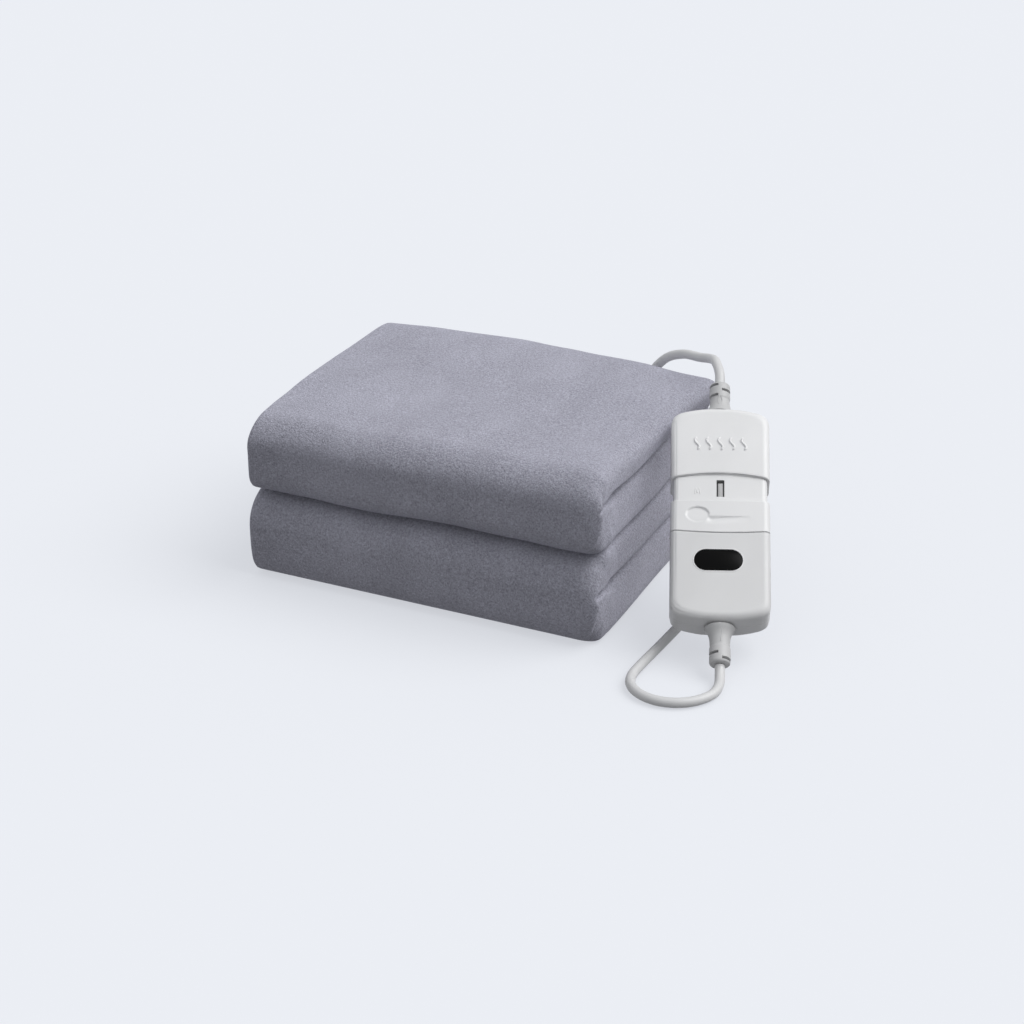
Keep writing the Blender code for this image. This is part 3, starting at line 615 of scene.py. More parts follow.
def fold_section(station):
    """The plies' way across the bundle, as pairs of (x, level): one on each face of the cloth."""
    thickness = station["thickness"]
    ply = 1.0 / PLIES
    slack = PLY_GAP / 2 / thickness
    right = STACK_WIDTH / 2 - SIDE_BULGE
    left_fold = ply - slack
    left_edge = -STACK_WIDTH / 2 + LEFT_INSET
    left_round = left_edge + left_fold * thickness

    def faces(number):
        return (number - 1) * ply + slack, number * ply - slack

    def along(number, x_from, x_to, upper_first, count):
        low, high = faces(number)
        first, second = (high, low) if upper_first else (low, high)
        places = [x_from + (x_to - x_from) * k / count for k in range(count + 1)]
        return [((x, first), (x, second)) for x in places]

    def round_fold(x, side, middle, halves, depths, rising, steps, high, low):
        angles = even_angles(steps, SIDE_BULGE, thickness / 2, thickness / 2, high, low)
        return [
            tuple(
                (
                    x + side * depth * power(math.cos(angle), high if angle >= 0 else low),
                    middle + half * power(math.sin(angle), high if angle >= 0 else low),
                )
                for half, depth in zip(halves, depths)
            )
            for angle in (angles if rising else reversed(angles))
        ]

    def right_fold(outer_ply, first_is_outside, rising, steps):
        outside, inside = faces(outer_ply)[1] - 0.5, faces(outer_ply)[0] - 0.5
        halves = (outside, inside) if first_is_outside else (inside, outside)
        depths = [2 * half * SIDE_BULGE for half in halves]
        return round_fold(right, 1, 0.5, halves, depths, rising, steps, station["side"], TIGHT_SIDE)

    def left_turn(lower_ply, first_is_outside, rising, steps):
        halves = (left_fold, slack) if first_is_outside else (slack, left_fold)
        depths = [half * thickness for half in halves]
        return round_fold(
            left_round, -1, lower_ply * ply, halves, depths, rising, steps, LEFT_SIDE, LEFT_SIDE
        )

    section = along(1, left_edge, right, True, 18)
    section += right_fold(6, False, True, 30)
    section += along(6, right, left_round, False, 46)
    section += left_turn(5, False, False, 7)
    section += along(5, left_round, right, True, 6)
    section += right_fold(5, True, False, 6)
    section += along(2, right, left_round, False, 5)
    section += left_turn(2, True, True, 7)
    section += along(3, left_round, right, True, 5)
    section += right_fold(4, False, True, 4)
    section += along(4, right, left_edge, False, 5)
    return section


def settle(x, y, z):
    """The stack's soft unevenness, the same as its solid's. The underside stays flat."""
    lift = z / HEIGHT
    rise = 0.0015 * math.sin(19 * x + 14 * y + 0.6) + 0.0009 * math.sin(37 * y - 11 * x)
    sway = 0.0013 * math.sin(23 * x + 1.1)
    lean = 0.0011 * math.sin(25 * y + 45 * z)
    return Vector((x + lift * lean, y + lift * sway, z + lift * rise))


# Creases on the right-hand side, near the front: rows of (y, z, how proud it stands) from the bottom up.
RIDGES = (
    (
        (-0.0960, 0.0030, 0.0008), (-0.0950, 0.0180, 0.0034), (-0.0925, 0.0290, 0.0032),
        (-0.0910, 0.0370, 0.0008),
    ),
    ((-0.0768, 0.0541, 0.0008), (-0.0742, 0.0627, 0.0012), (-0.0780, 0.0716, 0.0008)),
    (
        (-0.0960, 0.0610, 0.0030), (-0.0945, 0.0755, 0.0050), (-0.0920, 0.0880, 0.0036),
        (-0.0905, 0.0970, 0.0010),
    ),
)  # fmt: skip
FRONT_FLANK, BACK_FLANK, RIDGE_FADE = 0.0046, 0.0019, 0.0040

# The lines between the layers there: (height, open all along, open more behind the front rolls).
CREASES = ((UPPER_CREASE_Z, 0.0010, 0.0014), (MIDDLE_Z, 0.0008, 0.0), (LOWER_CREASE_Z, 0.0010, 0.0012))


def smooth_share(value, low, high):
    """0 below low, 1 above high, and a soft step between."""
    share = min(1.0, max(0.0, (value - low) / (high - low)))
    return share * share * (3 - 2 * share)


def ridge_push(y, z):
    """How far the creases push the side out: a long flank in front of each one and a short one behind it."""
    push = 0.0
    for way in RIDGES:
        places, heights, proud = zip(*way)
        away = y - float(np.interp(z, heights, places))
        beyond = max(heights[0] - z, z - heights[-1], 0.0)
        flank = FRONT_FLANK if away < 0 else BACK_FLANK
        fade = math.exp(-((away / flank) ** 2) - (beyond / RIDGE_FADE) ** 2)
        push += float(np.interp(z, heights, proud)) * fade
    return push


def tuck(y, z):
    """How far the side draws in towards the back, and each layer under another is tucked in at its top."""
    taper = SIDE_TAPER * smooth_share(y, -0.085, 0.050) * (1 - smooth_share(z, 0.085, 0.105))
    roll_end = -STACK_DEPTH / 2 + LOWER_ROLL_DEPTH
    for low, high in ((MIDDLE_Z, UPPER_CREASE_Z), (LOWER_CREASE_Z, MIDDLE_Z), (0.0, LOWER_CREASE_Z)):
        if low < z < high:
            front = smooth_share(y, roll_end, roll_end + TUCK_START)
            return taper + LAYER_TUCK * front * ((z - low) / (high - low)) ** 2
    return taper


def parting(y, z):
    """How far the side's creases stand open: a little all along, and wider just behind the front rolls."""
    lift = 0.0
    near = 1 - smooth_share(y, -0.068, -0.040)
    for crease, narrow, wide in CREASES:
        up = z - crease
        open_by = (narrow + wide * near) * smooth_share(y, -0.0775, -0.0725)
        lift += open_by * math.tanh(up / PARTING_LIP) * math.exp(-abs(up) / PARTING_FADE)
    return lift


def line_start(y, z):
    """How far the side draws in where the two deep creases run on into the front rolls."""
    along = smooth_share(y, -0.0945, -0.0885) * (1 - smooth_share(y, -0.0790, -0.0735))
    return LINE_START_DEPTH * along * sum(
        math.exp(-(((z - crease) / LINE_START_SPREAD) ** 2)) for crease in (UPPER_CREASE_Z, LOWER_CREASE_Z)
    )


def soft(x, y, z):
    """Where a point of the cloth comes to lie: settled, plumped by the air in it, tucked and creased."""
    side = smooth_share(x, 0.090, 0.112)
    if side > 0:
        x += side * (ridge_push(y, z) - tuck(y, z) - line_start(y, z))
        z += side * parting(y, z)
    top = smooth_share(z, 0.085, HEIGHT)
    front_drop = FRONT_DROP * (1 - smooth_share(y, -0.100, -0.050))
    left_drop = LEFT_DROP * (1 - smooth_share(x, -0.118, -0.070))
    z -= top * (front_drop + left_drop)
    point = settle(x, y, z)
    lift = smooth_share(z, 0.0, 0.02)
    broad = noise.noise_vector(point * BROAD_WAVES) * BROAD_STRAY
    close = noise.noise_vector(point * CLOSE_WAVES + Vector((3.0, 1.0, 2.0))) * CLOSE_STRAY
    push = (broad + close) * lift
    push.x *= 0.6
    return point + push


def cloth_strip(name, stations, material):
    """One closed strip: the folded section carried along the stations, unrolled into its UV map in metres."""
    sections = [fold_section(station) for station in stations]
    count = len(sections[0])
    rings = [
        [tuple(soft(x, *place_level(station, level)) for x, level in pair) for pair in section]
        for station, section in zip(stations, sections)
    ]
    points = np.array([[[tuple(p) for p in pair] for pair in ring] for ring in rings])
    across = np.linalg.norm(np.diff(points[len(stations) // 2, :, 0], axis=0), axis=1)
    length = np.linalg.norm(np.diff(points[:, count // 3, 0], axis=0), axis=1)
    u = np.concatenate([[0.0], np.cumsum(across)])
    v = np.concatenate([[0.0], np.cumsum(length)])

    def at(row, column, face):
        return (row * count + column) * 2 + face

    faces = []
    for row in range(len(stations) - 1):
        for k in range(count - 1):
            faces.append((at(row, k, 0), at(row, k + 1, 0), at(row + 1, k + 1, 0), at(row + 1, k, 0)))
            faces.append((at(row, k, 1), at(row + 1, k, 1), at(row + 1, k + 1, 1), at(row, k + 1, 1)))
        for k in (0, count - 1):
            faces.append((at(row, k, 0), at(row + 1, k, 0), at(row + 1, k, 1), at(row, k, 1)))
    for row in (0, len(stations) - 1):
        for k in range(count - 1):
            faces.append((at(row, k, 0), at(row, k, 1), at(row, k + 1, 1), at(row, k + 1, 0)))
    mesh = bpy.data.meshes.new(name)
    mesh.from_pydata(points.reshape(-1, 3).tolist(), [], faces)
    bm = bmesh.new()
    bm.from_mesh(mesh)
    bmesh.ops.recalc_face_normals(bm, faces=bm.faces[:])
    bm.to_mesh(mesh)
    bm.free()
    vertex = np.zeros(len(mesh.loops), np.int32)
    mesh.loops.foreach_get("vertex_index", vertex)
    column = (vertex // 2) % count
    row = vertex // 2 // count
    layer = mesh.uv_layers.new(name="lengths")
    layer.data.foreach_set("uv", np.stack([u[column], v[row]], axis=1).astype(np.float32).ravel())
    round_shading(mesh, 60)
    return add(name, mesh, material)


def fold_line(station, x_from):
    """The outermost face round the right-hand fold, as points: where a seam shows."""
    outer = [max(pair, key=lambda p: abs(p[1] - 0.5)) for pair in fold_section(station)[: 19 + 30 + 20]]
    return [soft(x, *place_level(station, level)) for x, level in outer if x > x_from]


# ---------------------------------------------------------------- repeated small pieces


def beads_along(name, size_inputs, build):
    """A Geometry Nodes tree: named sizes in, realized copies with one material out."""
    tree = bpy.data.node_groups.new(name, "GeometryNodeTree")
    tree.interface.new_socket("Geometry", in_out="INPUT", socket_type="NodeSocketGeometry")
    for key, value in size_inputs.items():
        tree.interface.new_socket(key, in_out="INPUT", socket_type="NodeSocketFloat").default_value = value
    tree.interface.new_socket("Material", in_out="INPUT", socket_type="NodeSocketMaterial")
    tree.interface.new_socket("Geometry", in_out="OUTPUT", socket_type="NodeSocketGeometry")
    source = tree.nodes.new("NodeGroupInput")
    shape = build(tree, source.outputs)
    real = put(tree, "GeometryNodeRealizeInstances", {"Geometry": shape})
    finish = put(
        tree, "GeometryNodeSetMaterial",
        {"Geometry": real.outputs[0], "Material": source.outputs["Material"]},
    )
    sink = tree.nodes.new("NodeGroupOutput")
    tree.links.new(finish.outputs[0], sink.inputs[0])
    return tree


def copies_along(tree, given, shape, scale=None):
    """Copies of a shape at every pitch of the path, turned along it."""
    spots = put(
        tree, "GeometryNodeCurveToPoints",
        {"Curve": given["Geometry"], "Length": given["Pitch"]}, mode="LENGTH",
    )
    turn = put(tree, "FunctionNodeAlignRotationToVector", {"Vector": spots.outputs["Tangent"]}, axis="Z")
    inputs = {"Points": spots.outputs["Points"], "Instance": shape, "Rotation": turn.outputs["Rotation"]}
    if scale is not None:
        inputs["Scale"] = scale
    return put(tree, "GeometryNodeInstanceOnPoints", inputs).outputs[0]


def build_stitches(tree, given):
    """Thread ends along a seam: a small long bead at every stitch, turned along the seam."""
    bead = put(tree, "GeometryNodeMeshUVSphere", {"Segments": 8, "Rings": 6, "Radius": 1.0})
    size = put(
        tree, "ShaderNodeCombineXYZ",
        {"X": given["Thread radius"], "Y": given["Thread radius"], "Z": given["Half length"]},
    )
    return copies_along(tree, given, bead.outputs["Mesh"], size.outputs[0])


def build_rings(tree, given):
    """Raised rings round a neck of one width, from its base to its tip."""
    circle = put(tree, "GeometryNodeCurvePrimitiveCircle", {"Resolution": 40, "Radius": given["Neck radius"]})
    rib = put(tree, "GeometryNodeCurvePrimitiveCircle", {"Resolution": 8, "Radius": given["Rib radius"]})
    ring = put(
        tree, "GeometryNodeCurveToMesh",
        {"Curve": circle.outputs["Curve"], "Profile Curve": rib.outputs["Curve"]},
    )
    return copies_along(tree, given, ring.outputs["Mesh"])


STITCHES = beads_along(
    "seam_stitches", {"Pitch": 0.0032, "Half length": 0.0012, "Thread radius": 0.00028}, build_stitches
)
RINGS = beads_along("neck_rings", {"Pitch": 0.0024, "Neck radius": 0.0050, "Rib radius": 0.0005}, build_rings)


def grown(name, tree, path, sizes, material):
    """Runs a tree on a path and keeps the result as a plain mesh."""
    guide = add(name, path_curve(name, path))
    step = guide.modifiers.new(name, "NODES")
    step.node_group = tree
    for item in tree.interface.items_tree:
        if item.in_out == "INPUT" and item.name in sizes:
            step[item.identifier] = sizes[item.name]
        if item.in_out == "INPUT" and item.name == "Material":
            step[item.identifier] = material
    made = plain_mesh(guide)
    made.data.shade_smooth()
    return made


def make_cloth():
    blanket = cloth_strip("blanket_cloth", ribbon_stations(), FLEECE)
    upper = run(UPPER_END_Y, UPPER_END_Y - BINDING_LENGTH, UPPER_CREASE_Z - CREASE_GAP, -1, UPPER_LAYER, 7)
    lower = run(LOWER_END_Y - BINDING_LENGTH, LOWER_END_Y, LOWER_CREASE_Z + CREASE_GAP, 1, LOWER_LAYER, 7)
    tapes = [cloth_strip("end_tape_upper", upper, TAPE), cloth_strip("end_tape_lower", lower, TAPE)]
    seams = []
    for name, stations in (("upper", upper), ("lower", lower)):
        for edge, row in (("edge", stations[1]), ("seam", stations[-2])):
            line = fold_line(row, 0.09)
            seams.append(grown(f"stitches_{name}_{edge}", STITCHES, line, {}, THREAD))
    fit(blanket, stands_for=["blanket"])
    fit(tapes[0], stands_for=["end_binding_upper"])
    fit(tapes[1], stands_for=["end_binding_lower"])
    for seam in seams:
        fit(seam)


# ---------------------------------------------------------------- controller


def shoulder(inset):
    """The case's lower right quarter of outline, from its middle to its straight side."""
    rows = [(0.0, 0.0004), (0.36, 0.0008), (0.70, 0.0026), (0.86, 0.0042), (0.955, 0.0066), (1.0, 0.0112)]
    half = CASE_HALF_WIDTH - inset
    points = [Vector((share * half, drop + inset, 0.0)) for share, drop in rows]
    return [(p.x, p.y) for p in smooth(points, 0.0012)]


def half_outline(inset):
    """The right half of the outline, from the lower middle to the upper middle."""
    lower = shoulder(inset)
    return lower + [(x, CASE_LENGTH - y) for x, y in reversed(lower)]


def case_rings(inset, back, front, rounding, groove):
    """(inset, z) of the outlines that make the case's section, from the back face to the front face."""
    steps = 7
    quarter = [math.pi / 2 * k / steps for k in range(steps + 1)]
    rows = [(rounding * (1 - math.sin(a)), back + rounding * (1 - math.cos(a))) for a in quarter]
    if groove:
        middle = (back + front) / 2
        rows += [(0.0, middle - 0.0003), (0.0003, middle), (0.0, middle + 0.0003)]
    rows += [(rounding * (1 - math.sin(a)), front - rounding * (1 - math.cos(a))) for a in reversed(quarter)]
    return [(inset + d, z) for d, z in rows]


def case_form(bm, inset=0.0, front_inset=0.0, rounding=CASE_ROUNDING, groove=True):
    """The whole case as one closed form with soft edges."""
    rings = []
    for d, z in case_rings(inset, inset, CASE_THICKNESS - front_inset, rounding, groove):
        right = half_outline(d)
        ring = [bm.verts.new((x, y, z)) for x, y in right]
        ring += [bm.verts.new((-x, y, z)) for x, y in reversed(right[1:-1])]
        rings.append(ring)
    cover(bm, rings, capped=False)
    for ring in (rings[0], rings[-1]):
        for k in range(len(ring) // 2):
            corners = [ring[k], ring[k + 1], ring[-k - 1], ring[-k]]
            bm.faces.new(list(dict.fromkeys(corners)))


def slice_at(bm, y, keep):
    """Cuts the form across its length and keeps the part above (keep 1) or below (keep -1) the cut."""
    bmesh.ops.bisect_plane(
        bm, geom=bm.verts[:] + bm.edges[:] + bm.faces[:], plane_co=(0, y, 0), plane_no=(0, keep, 0),
        clear_inner=True,
    )  # fmt: skip


def grid_lines(bm, axis, places):
    """Adds edge lines across the form, so that it can bend or be pressed in there."""
    normal = [0.0, 0.0, 0.0]
    normal[axis] = 1.0
    for place in places:
        spot = [0.0, 0.0, 0.0]
        spot[axis] = place
        bmesh.ops.bisect_plane(
            bm, geom=bm.verts[:] + bm.edges[:] + bm.faces[:], plane_co=spot, plane_no=normal,
        )  # fmt: skip


def close_cut(bm, y, width=0.0004):
    """Closes the open end at y with one face and softens its rim."""
    rim = [e for e in bm.edges if e.is_boundary and all(abs(v.co.y - y) < 1e-5 for v in e.verts)]
    bmesh.ops.contextual_create(bm, geom=rim)
    bmesh.ops.recalc_face_normals(bm, faces=bm.faces[:])
    bmesh.ops.bevel(bm, geom=rim, offset=width, segments=2, profile=0.5, affect="EDGES")


def spaced(low, high, pitch):
    count = max(1, round((high - low) / pitch))
    return [low + (high - low) * k / count for k in range(1, count)]


def crown(x, z):
    """How far the face and the back stand proud of flat: a slight crown across the width."""
    share = (x / CASE_HALF_WIDTH) ** 2
    out = (z - CASE_THICKNESS / 2) / (CASE_THICKNESS / 2)
    return 0.0006 * out * max(0.0, 1.0 - share)


def seam_shift(x, y):
    """The arched seams: the cap's rises and the slider's sags in the middle."""
    bow = max(0.0, 1.0 - (x / CASE_HALF_WIDTH) ** 2)
    shift = 0.0
    for place, rise, spread in ((CAP_SEAM_Y, CAP_SEAM_RISE, 0.0155), (SLIDER_BOTTOM_Y, -SLIDER_SAG, 0.0120)):
        share = max(0.0, 1.0 - abs(y - place) / spread)
        shift += rise * bow * share * share * (3 - 2 * share)
    return shift


def press(x, y):
    """How deep the slider's face is pressed in: the thumb dish, and the ledge that runs on from it."""
    dish_x, dish_y, dish_a, dish_b, dish_depth = -0.0136, 0.0700, 0.0072, 0.0052, 0.00105
    reach = math.hypot((x - dish_x) / dish_a, (y - dish_y) / dish_b)
    below = smooth_share(dish_y - y, -dish_b, dish_b)
    dish = dish_depth * smooth_share(1.0 - reach, 0.0, 0.15) * (1 - 0.8 * below)
    ledge_y, ledge_start, ledge_end, ledge_depth = 0.0690, -0.0072, 0.0176, 0.00105
    share = min(1.0, max(0.0, (ledge_end - x) / (ledge_end - ledge_start)))
    fan = 0.0003 + 0.7 * max(0.0, ledge_y - y)
    begin = smooth_share(x, ledge_start - fan, ledge_start + fan)
    wall = 0.0003 + 0.0013 * share
    fall = smooth_share(ledge_y - y, 0.0, wall)
    back = 1 - smooth_share(ledge_y - y, wall, wall + 0.0036)
    return max(dish, ledge_depth * share**0.7 * begin * fall * back)


def shape_case(mesh, pressed=False):
    """Crowns and arches a case piece, presses a sleeve's outer skin, and puts it where the case leans."""
    skin = CASE_THICKNESS - 0.8 * (TRACK_INSET - SLIDER_CLEARANCE)
    for vertex in mesh.vertices:
        x, y, z = vertex.co
        deep = press(x, y) if pressed and z > skin else 0.0
        vertex.co = (x, y + seam_shift(x, y), z + crown(x, z) - deep)
    mesh.transform(CASE)
    round_shading(mesh, 32)
    return mesh


def prism(name, outline, low, high):
    """A flat outline carried from low to high: a cutter or a small insert, in the controller's frame."""

    def build(bm):
        face = bm.faces.new([bm.verts.new((x, y, low)) for x, y in outline])
        moved = bmesh.ops.extrude_face_region(bm, geom=[face])["geom"]
        for vertex in (v for v in moved if isinstance(v, bmesh.types.BMVert)):
            vertex.co.z = high

    return solid(name, build)


def stadium(width, height, x, y, steps=16):
    radius = height / 2
    points = []
    for side in (1, -1):
        middle = x + side * (width / 2 - radius)
        for k in range(steps + 1):
            angle = math.pi * (k / steps - 0.5) + (0 if side > 0 else math.pi)
            points.append((middle + radius * math.cos(angle), y + radius * math.sin(angle)))
    return points


def rectangle(width, height, x, y):
    return [(x + sx * width / 2, y + sy * height / 2) for sx, sy in ((-1, -1), (1, -1), (1, 1), (-1, 1))]


def soften(obj, width, segments=3, degrees=40):
    edge = obj.modifiers.new("soft_edges", "BEVEL")
    edge.width = width
    edge.segments = segments
    edge.limit_method = "ANGLE"
    edge.angle_limit = math.radians(degrees)
    return plain_mesh(obj)


def fit_insert(obj, material, stands_for=()):
    """Shapes a small insert like the case around it, and hangs it there."""
    obj.data.materials.append(material)
    shape_case(obj.data)
    fit(obj, stands_for=stands_for)


def make_lower_shell():
    def build(bm):
        case_form(bm)
        slice_at(bm, SLIDER_BOTTOM_Y - TOUCH_GAP, -1)
        grid_lines(bm, 1, spaced(0.046, SLIDER_BOTTOM_Y - TOUCH_GAP, 0.0014))
        grid_lines(bm, 0, spaced(-CASE_HALF_WIDTH, CASE_HALF_WIDTH, 0.0025))
        close_cut(bm, SLIDER_BOTTOM_Y - TOUCH_GAP)

    shell = solid("lower_shell", build, LOWER_WHITE)
    outline = stadium(WINDOW_WIDTH + 2 * TOUCH_GAP, WINDOW_HEIGHT + 2 * TOUCH_GAP, WINDOW_X, WINDOW_Y)
    floor = CASE_THICKNESS - WINDOW_DEPTH - TOUCH_GAP
    shell = cut(shell, [prism("window_pocket", outline, floor, CASE_THICKNESS + 0.01)])
    shape_case(shell.data)
    fit(shell, stands_for=["housing_bottom"])

    glass = prism(
        "window_glass", stadium(WINDOW_WIDTH, WINDOW_HEIGHT, WINDOW_X, WINDOW_Y), floor + TOUCH_GAP,
        CASE_THICKNESS - 0.0001,
    )  # fmt: skip
    fit_insert(soften(glass, 0.0004), BLACK_GLOSS, ["display_window"])

    rim_line = [
        Vector((x, y, CASE_THICKNESS + crown(x, CASE_THICKNESS) - 0.0001))
        for x, y in stadium(WINDOW_WIDTH + 0.0009, WINDOW_HEIGHT + 0.0009, WINDOW_X, WINDOW_Y, 20)
    ]
    rim = plain_mesh(tube("window_rim", [CASE @ p for p in rim_line], 0.00036, WHITE, 3, True))
    fit(rim)


def make_upper_shell():
    def build(bm):
        case_form(bm)
        slice_at(bm, CAP_SEAM_Y, 1)
        grid_lines(bm, 1, spaced(CAP_SEAM_Y, 0.112, 0.0014))
        grid_lines(bm, 0, spaced(-CASE_HALF_WIDTH, CASE_HALF_WIDTH, 0.0025))
        close_cut(bm, CAP_SEAM_Y)

    shell = solid("upper_shell", build, WHITE)
    shape_case(shell.data)
    fit(shell, stands_for=["housing_top"])
    make_heat_waves()


def raised_line(name, rows, radius):
    """A fine raised line on the controller's face, through (x, y) points of its frame, with tapered ends."""
    points = smooth([Vector((x, y, 0.0)) for x, y in rows], 0.0004)
    lifted = [Vector((p.x, p.y, CASE_THICKNESS + crown(p.x, CASE_THICKNESS))) for p in points]
    line = tube(name, [CASE @ p for p in lifted], radius, WHITE, 2)
    knots = line.data.splines[0].points
    for k, knot in enumerate(knots):
        knot.radius = min(1.0, (min(k, len(knots) - 1 - k) + 0.3) / 3.0)
    return line


def join(name, objects):
    """Several plain meshes as one piece."""
    bm = bmesh.new()
    for obj in objects:
        bm.from_mesh(obj.data)
    mesh = bpy.data.meshes.new(name)
    bm.to_mesh(mesh)
    bm.free()
    for material in objects[0].data.materials:
        mesh.materials.append(material)
    for obj in objects:
        bpy.data.objects.remove(obj, do_unlink=True)
    mesh.shade_smooth()
    return add(name, mesh)


def make_heat_waves():
    """Raised wavy lines on the cap: the plain sign for warmth."""
    lines, middle_y, half_height, sway = [], 0.1185, 0.0046, 0.0013
    for k in range(5):
        x = -0.0140 + 0.0070 * k
        rows = [
            (x + sway * math.sin(math.tau * share), middle_y + half_height * (2 * share - 1))
            for share in (0.0, 0.125, 0.25, 0.375, 0.5, 0.625, 0.75, 0.875, 1.0)
        ]
        lines.append(plain_mesh(raised_line(f"wave_{k}", rows, 0.00075)))
    fit(join("heat_waves", lines))


def make_track():
    face = CASE_THICKNESS - TRACK_INSET

    def build(bm):
        case_form(bm, TRACK_INSET, TRACK_INSET, CASE_ROUNDING - TRACK_INSET / 2, False)
        slice_at(bm, CAP_SEAM_Y - TOUCH_GAP, -1)
        slice_at(bm, SLIDER_BOTTOM_Y, 1)
        grid_lines(bm, 1, spaced(SLIDER_BOTTOM_Y, CAP_SEAM_Y - TOUCH_GAP, 0.0016))
        grid_lines(bm, 0, spaced(-CASE_HALF_WIDTH, CASE_HALF_WIDTH, 0.0025))
        close_cut(bm, CAP_SEAM_Y - TOUCH_GAP, 0.0002)
        close_cut(bm, SLIDER_BOTTOM_Y, 0.0002)

    track = solid("slide_track", build, WHITE)
    pocket = rectangle(SLOT_WIDTH, SLOT_LENGTH, 0, SLOT_Y)
    track = cut(track, [prism("slot_pocket", pocket, face - SLOT_DEPTH, CASE_THICKNESS + 0.01)])
    shape_case(track.data)
    fit(track, stands_for=["slider_track"])

    # A black sheet on the slot's sides and top, as painted shade in the pocket, and the pale strip that it
    # frames.
    side, top, gap = 0.0007, 0.0014, 0.0001
    half, end, depth = SLOT_WIDTH / 2, SLOT_LENGTH / 2, SLOT_DEPTH - gap
    inner = [
        (-half + gap, -end), (-half + side, -end), (-half + side, end - top), (half - side, end - top),
        (half - side, -end), (half - gap, -end), (half - gap, end - gap), (-half + gap, end - gap),
    ]  # fmt: skip
    # The black sheet is painted shade: it darkens the pocket's walls in place of their shade.
    slot_shade = prism("slot_liner", [(x, y + SLOT_Y) for x, y in inner], face - depth, face + gap)
    fit_insert(slot_shade, BLACK_MATT)
    outline = rectangle(SLOT_WIDTH - 2 * side - 0.0002, SLOT_LENGTH - 0.0018, 0, SLOT_Y - 0.0007)
    strip = soften(prism("slot_insert", outline, face - depth, face - 0.0003), 0.0002, 2)
    fit_insert(strip, PALE_GREY, ["slot_strip"])

    # The marks stand a little less proud than the gap that the sleeve leaves, so that it slides over them.
    proud = SLIDER_CLEARANCE - 0.00012
    rows = [("zigzag", 0.00032, (
        (-0.0152, 0.0838), (-0.0146, 0.0886), (-0.0136, 0.0852), (-0.0126, 0.0886), (-0.0120, 0.0838)
    ))]  # fmt: skip
    for k, x in enumerate((-0.0092, 0.0066)):
        rows.append((f"dot_{k}", 0.00045, ((x - 0.0004, 0.0864), (x + 0.0004, 0.0864))))
    marks = []
    for name, radius, way in rows:
        mark = plain_mesh(raised_line(name, way, radius))
        mark.data.transform(Matrix.Translation(-CASE_OUT * (TRACK_INSET + radius - proud)))
        marks.append(mark)
    fit(join("track_marks", marks))


def make_sleeve():
    """The slider: a sleeve round the track, with a thumb dish and a ledge on its face."""
    low, high = SLIDER_BOTTOM_Y + TOUCH_GAP, SLIDER_TOP_Y
    gap = TRACK_INSET - SLIDER_CLEARANCE

    def tube_of(bm, inset, rounding, groove):
        case_form(bm, inset, inset, rounding, groove)
        slice_at(bm, low, 1)
        slice_at(bm, high, -1)

    def build(bm):
        inner = bmesh.new()
        tube_of(inner, gap, CASE_ROUNDING - gap / 2, False)
        grid_lines(inner, 0, spaced(-CASE_HALF_WIDTH, CASE_HALF_WIDTH, 0.0025))
        lining = bpy.data.meshes.new("lining")
        inner.to_mesh(lining)
        inner.free()
        tube_of(bm, 0.0, CASE_ROUNDING, True)
        grid_lines(bm, 1, spaced(low, high, 0.0005))
        grid_lines(bm, 0, spaced(-CASE_HALF_WIDTH, CASE_HALF_WIDTH, 0.0005))
        outer_rims = [
            [e for e in bm.edges if e.is_boundary and all(abs(v.co.y - y) < 1e-5 for v in e.verts)]
            for y in (low, high)
        ]
        known = set(bm.edges)
        bm.from_mesh(lining)
        bpy.data.meshes.remove(lining)
        new = [e for e in bm.edges if e not in known and e.is_boundary]
        for y, rim in zip((low, high), outer_rims):
            inner_rim = [e for e in new if all(abs(v.co.y - y) < 1e-5 for v in e.verts)]
            bmesh.ops.bridge_loops(bm, edges=rim + inner_rim)
        bmesh.ops.recalc_face_normals(bm, faces=bm.faces[:])
        bmesh.ops.bevel(
            bm, geom=[e for rim in outer_rims for e in rim], offset=0.0003, segments=2, profile=0.5,
            affect="EDGES",
        )  # fmt: skip

    sleeve = solid("slide_sleeve", build, WHITE)
    shape_case(sleeve.data, True)
    fit(sleeve, "slider", ["slider"])


def turned(name, profile, material, place, steps=48):
    """A solid turned round its own Y: rows of (radius, y) from its far end down to its base."""

    def build(bm):
        rings = []
        for radius, y in profile:
            angles = [math.tau * k / steps for k in range(steps)]
            rings.append([bm.verts.new((radius * math.cos(a), y, radius * math.sin(a))) for a in angles])
        cover(bm, rings)

    obj = solid(name, build, material, place)
    round_shading(obj.data, 38)
    return obj


RELIEF_NECK = [
    (0.0062, 0.0068), (0.0066, 0.0050), (0.0072, 0.0034), (0.0080, 0.0020), (0.0092, 0.0003), (0.0092, 0.0)
]  # fmt: skip


def relief_profile(length):
    """A collar with soft corners on a neck that flares to the case."""
    rows = [
        (0.0048, length), (0.0056, length - 0.0002), (0.0061, length - 0.0008), (0.0063, length - 0.0018),
        (0.0063, length - 0.0100), (0.0062, length - 0.0106), (0.0059, length - 0.0110),
        (0.0059, length - 0.0118), (0.0060, length - 0.0130),
    ]  # fmt: skip
    return rows + RELIEF_NECK


def half_ring_cutter(name, place, y, thickness, side, inner, turn=180):
    """Cuts a groove half way round a collar."""
    steps, outer = 20, 0.0080

    def build(bm):
        loops = []
        for k in range(steps + 1):
            angle = math.radians(-turn / 2 + turn * k / steps) + (0 if side > 0 else math.pi)
            cosine, sine = math.cos(angle), math.sin(angle)
            corners = [(inner, y), (outer, y), (outer, y + thickness), (inner, y + thickness)]
            loops.append([bm.verts.new((r * cosine, h, r * sine)) for r, h in corners])
        cover(bm, loops)

    return solid(name, build, place=place)


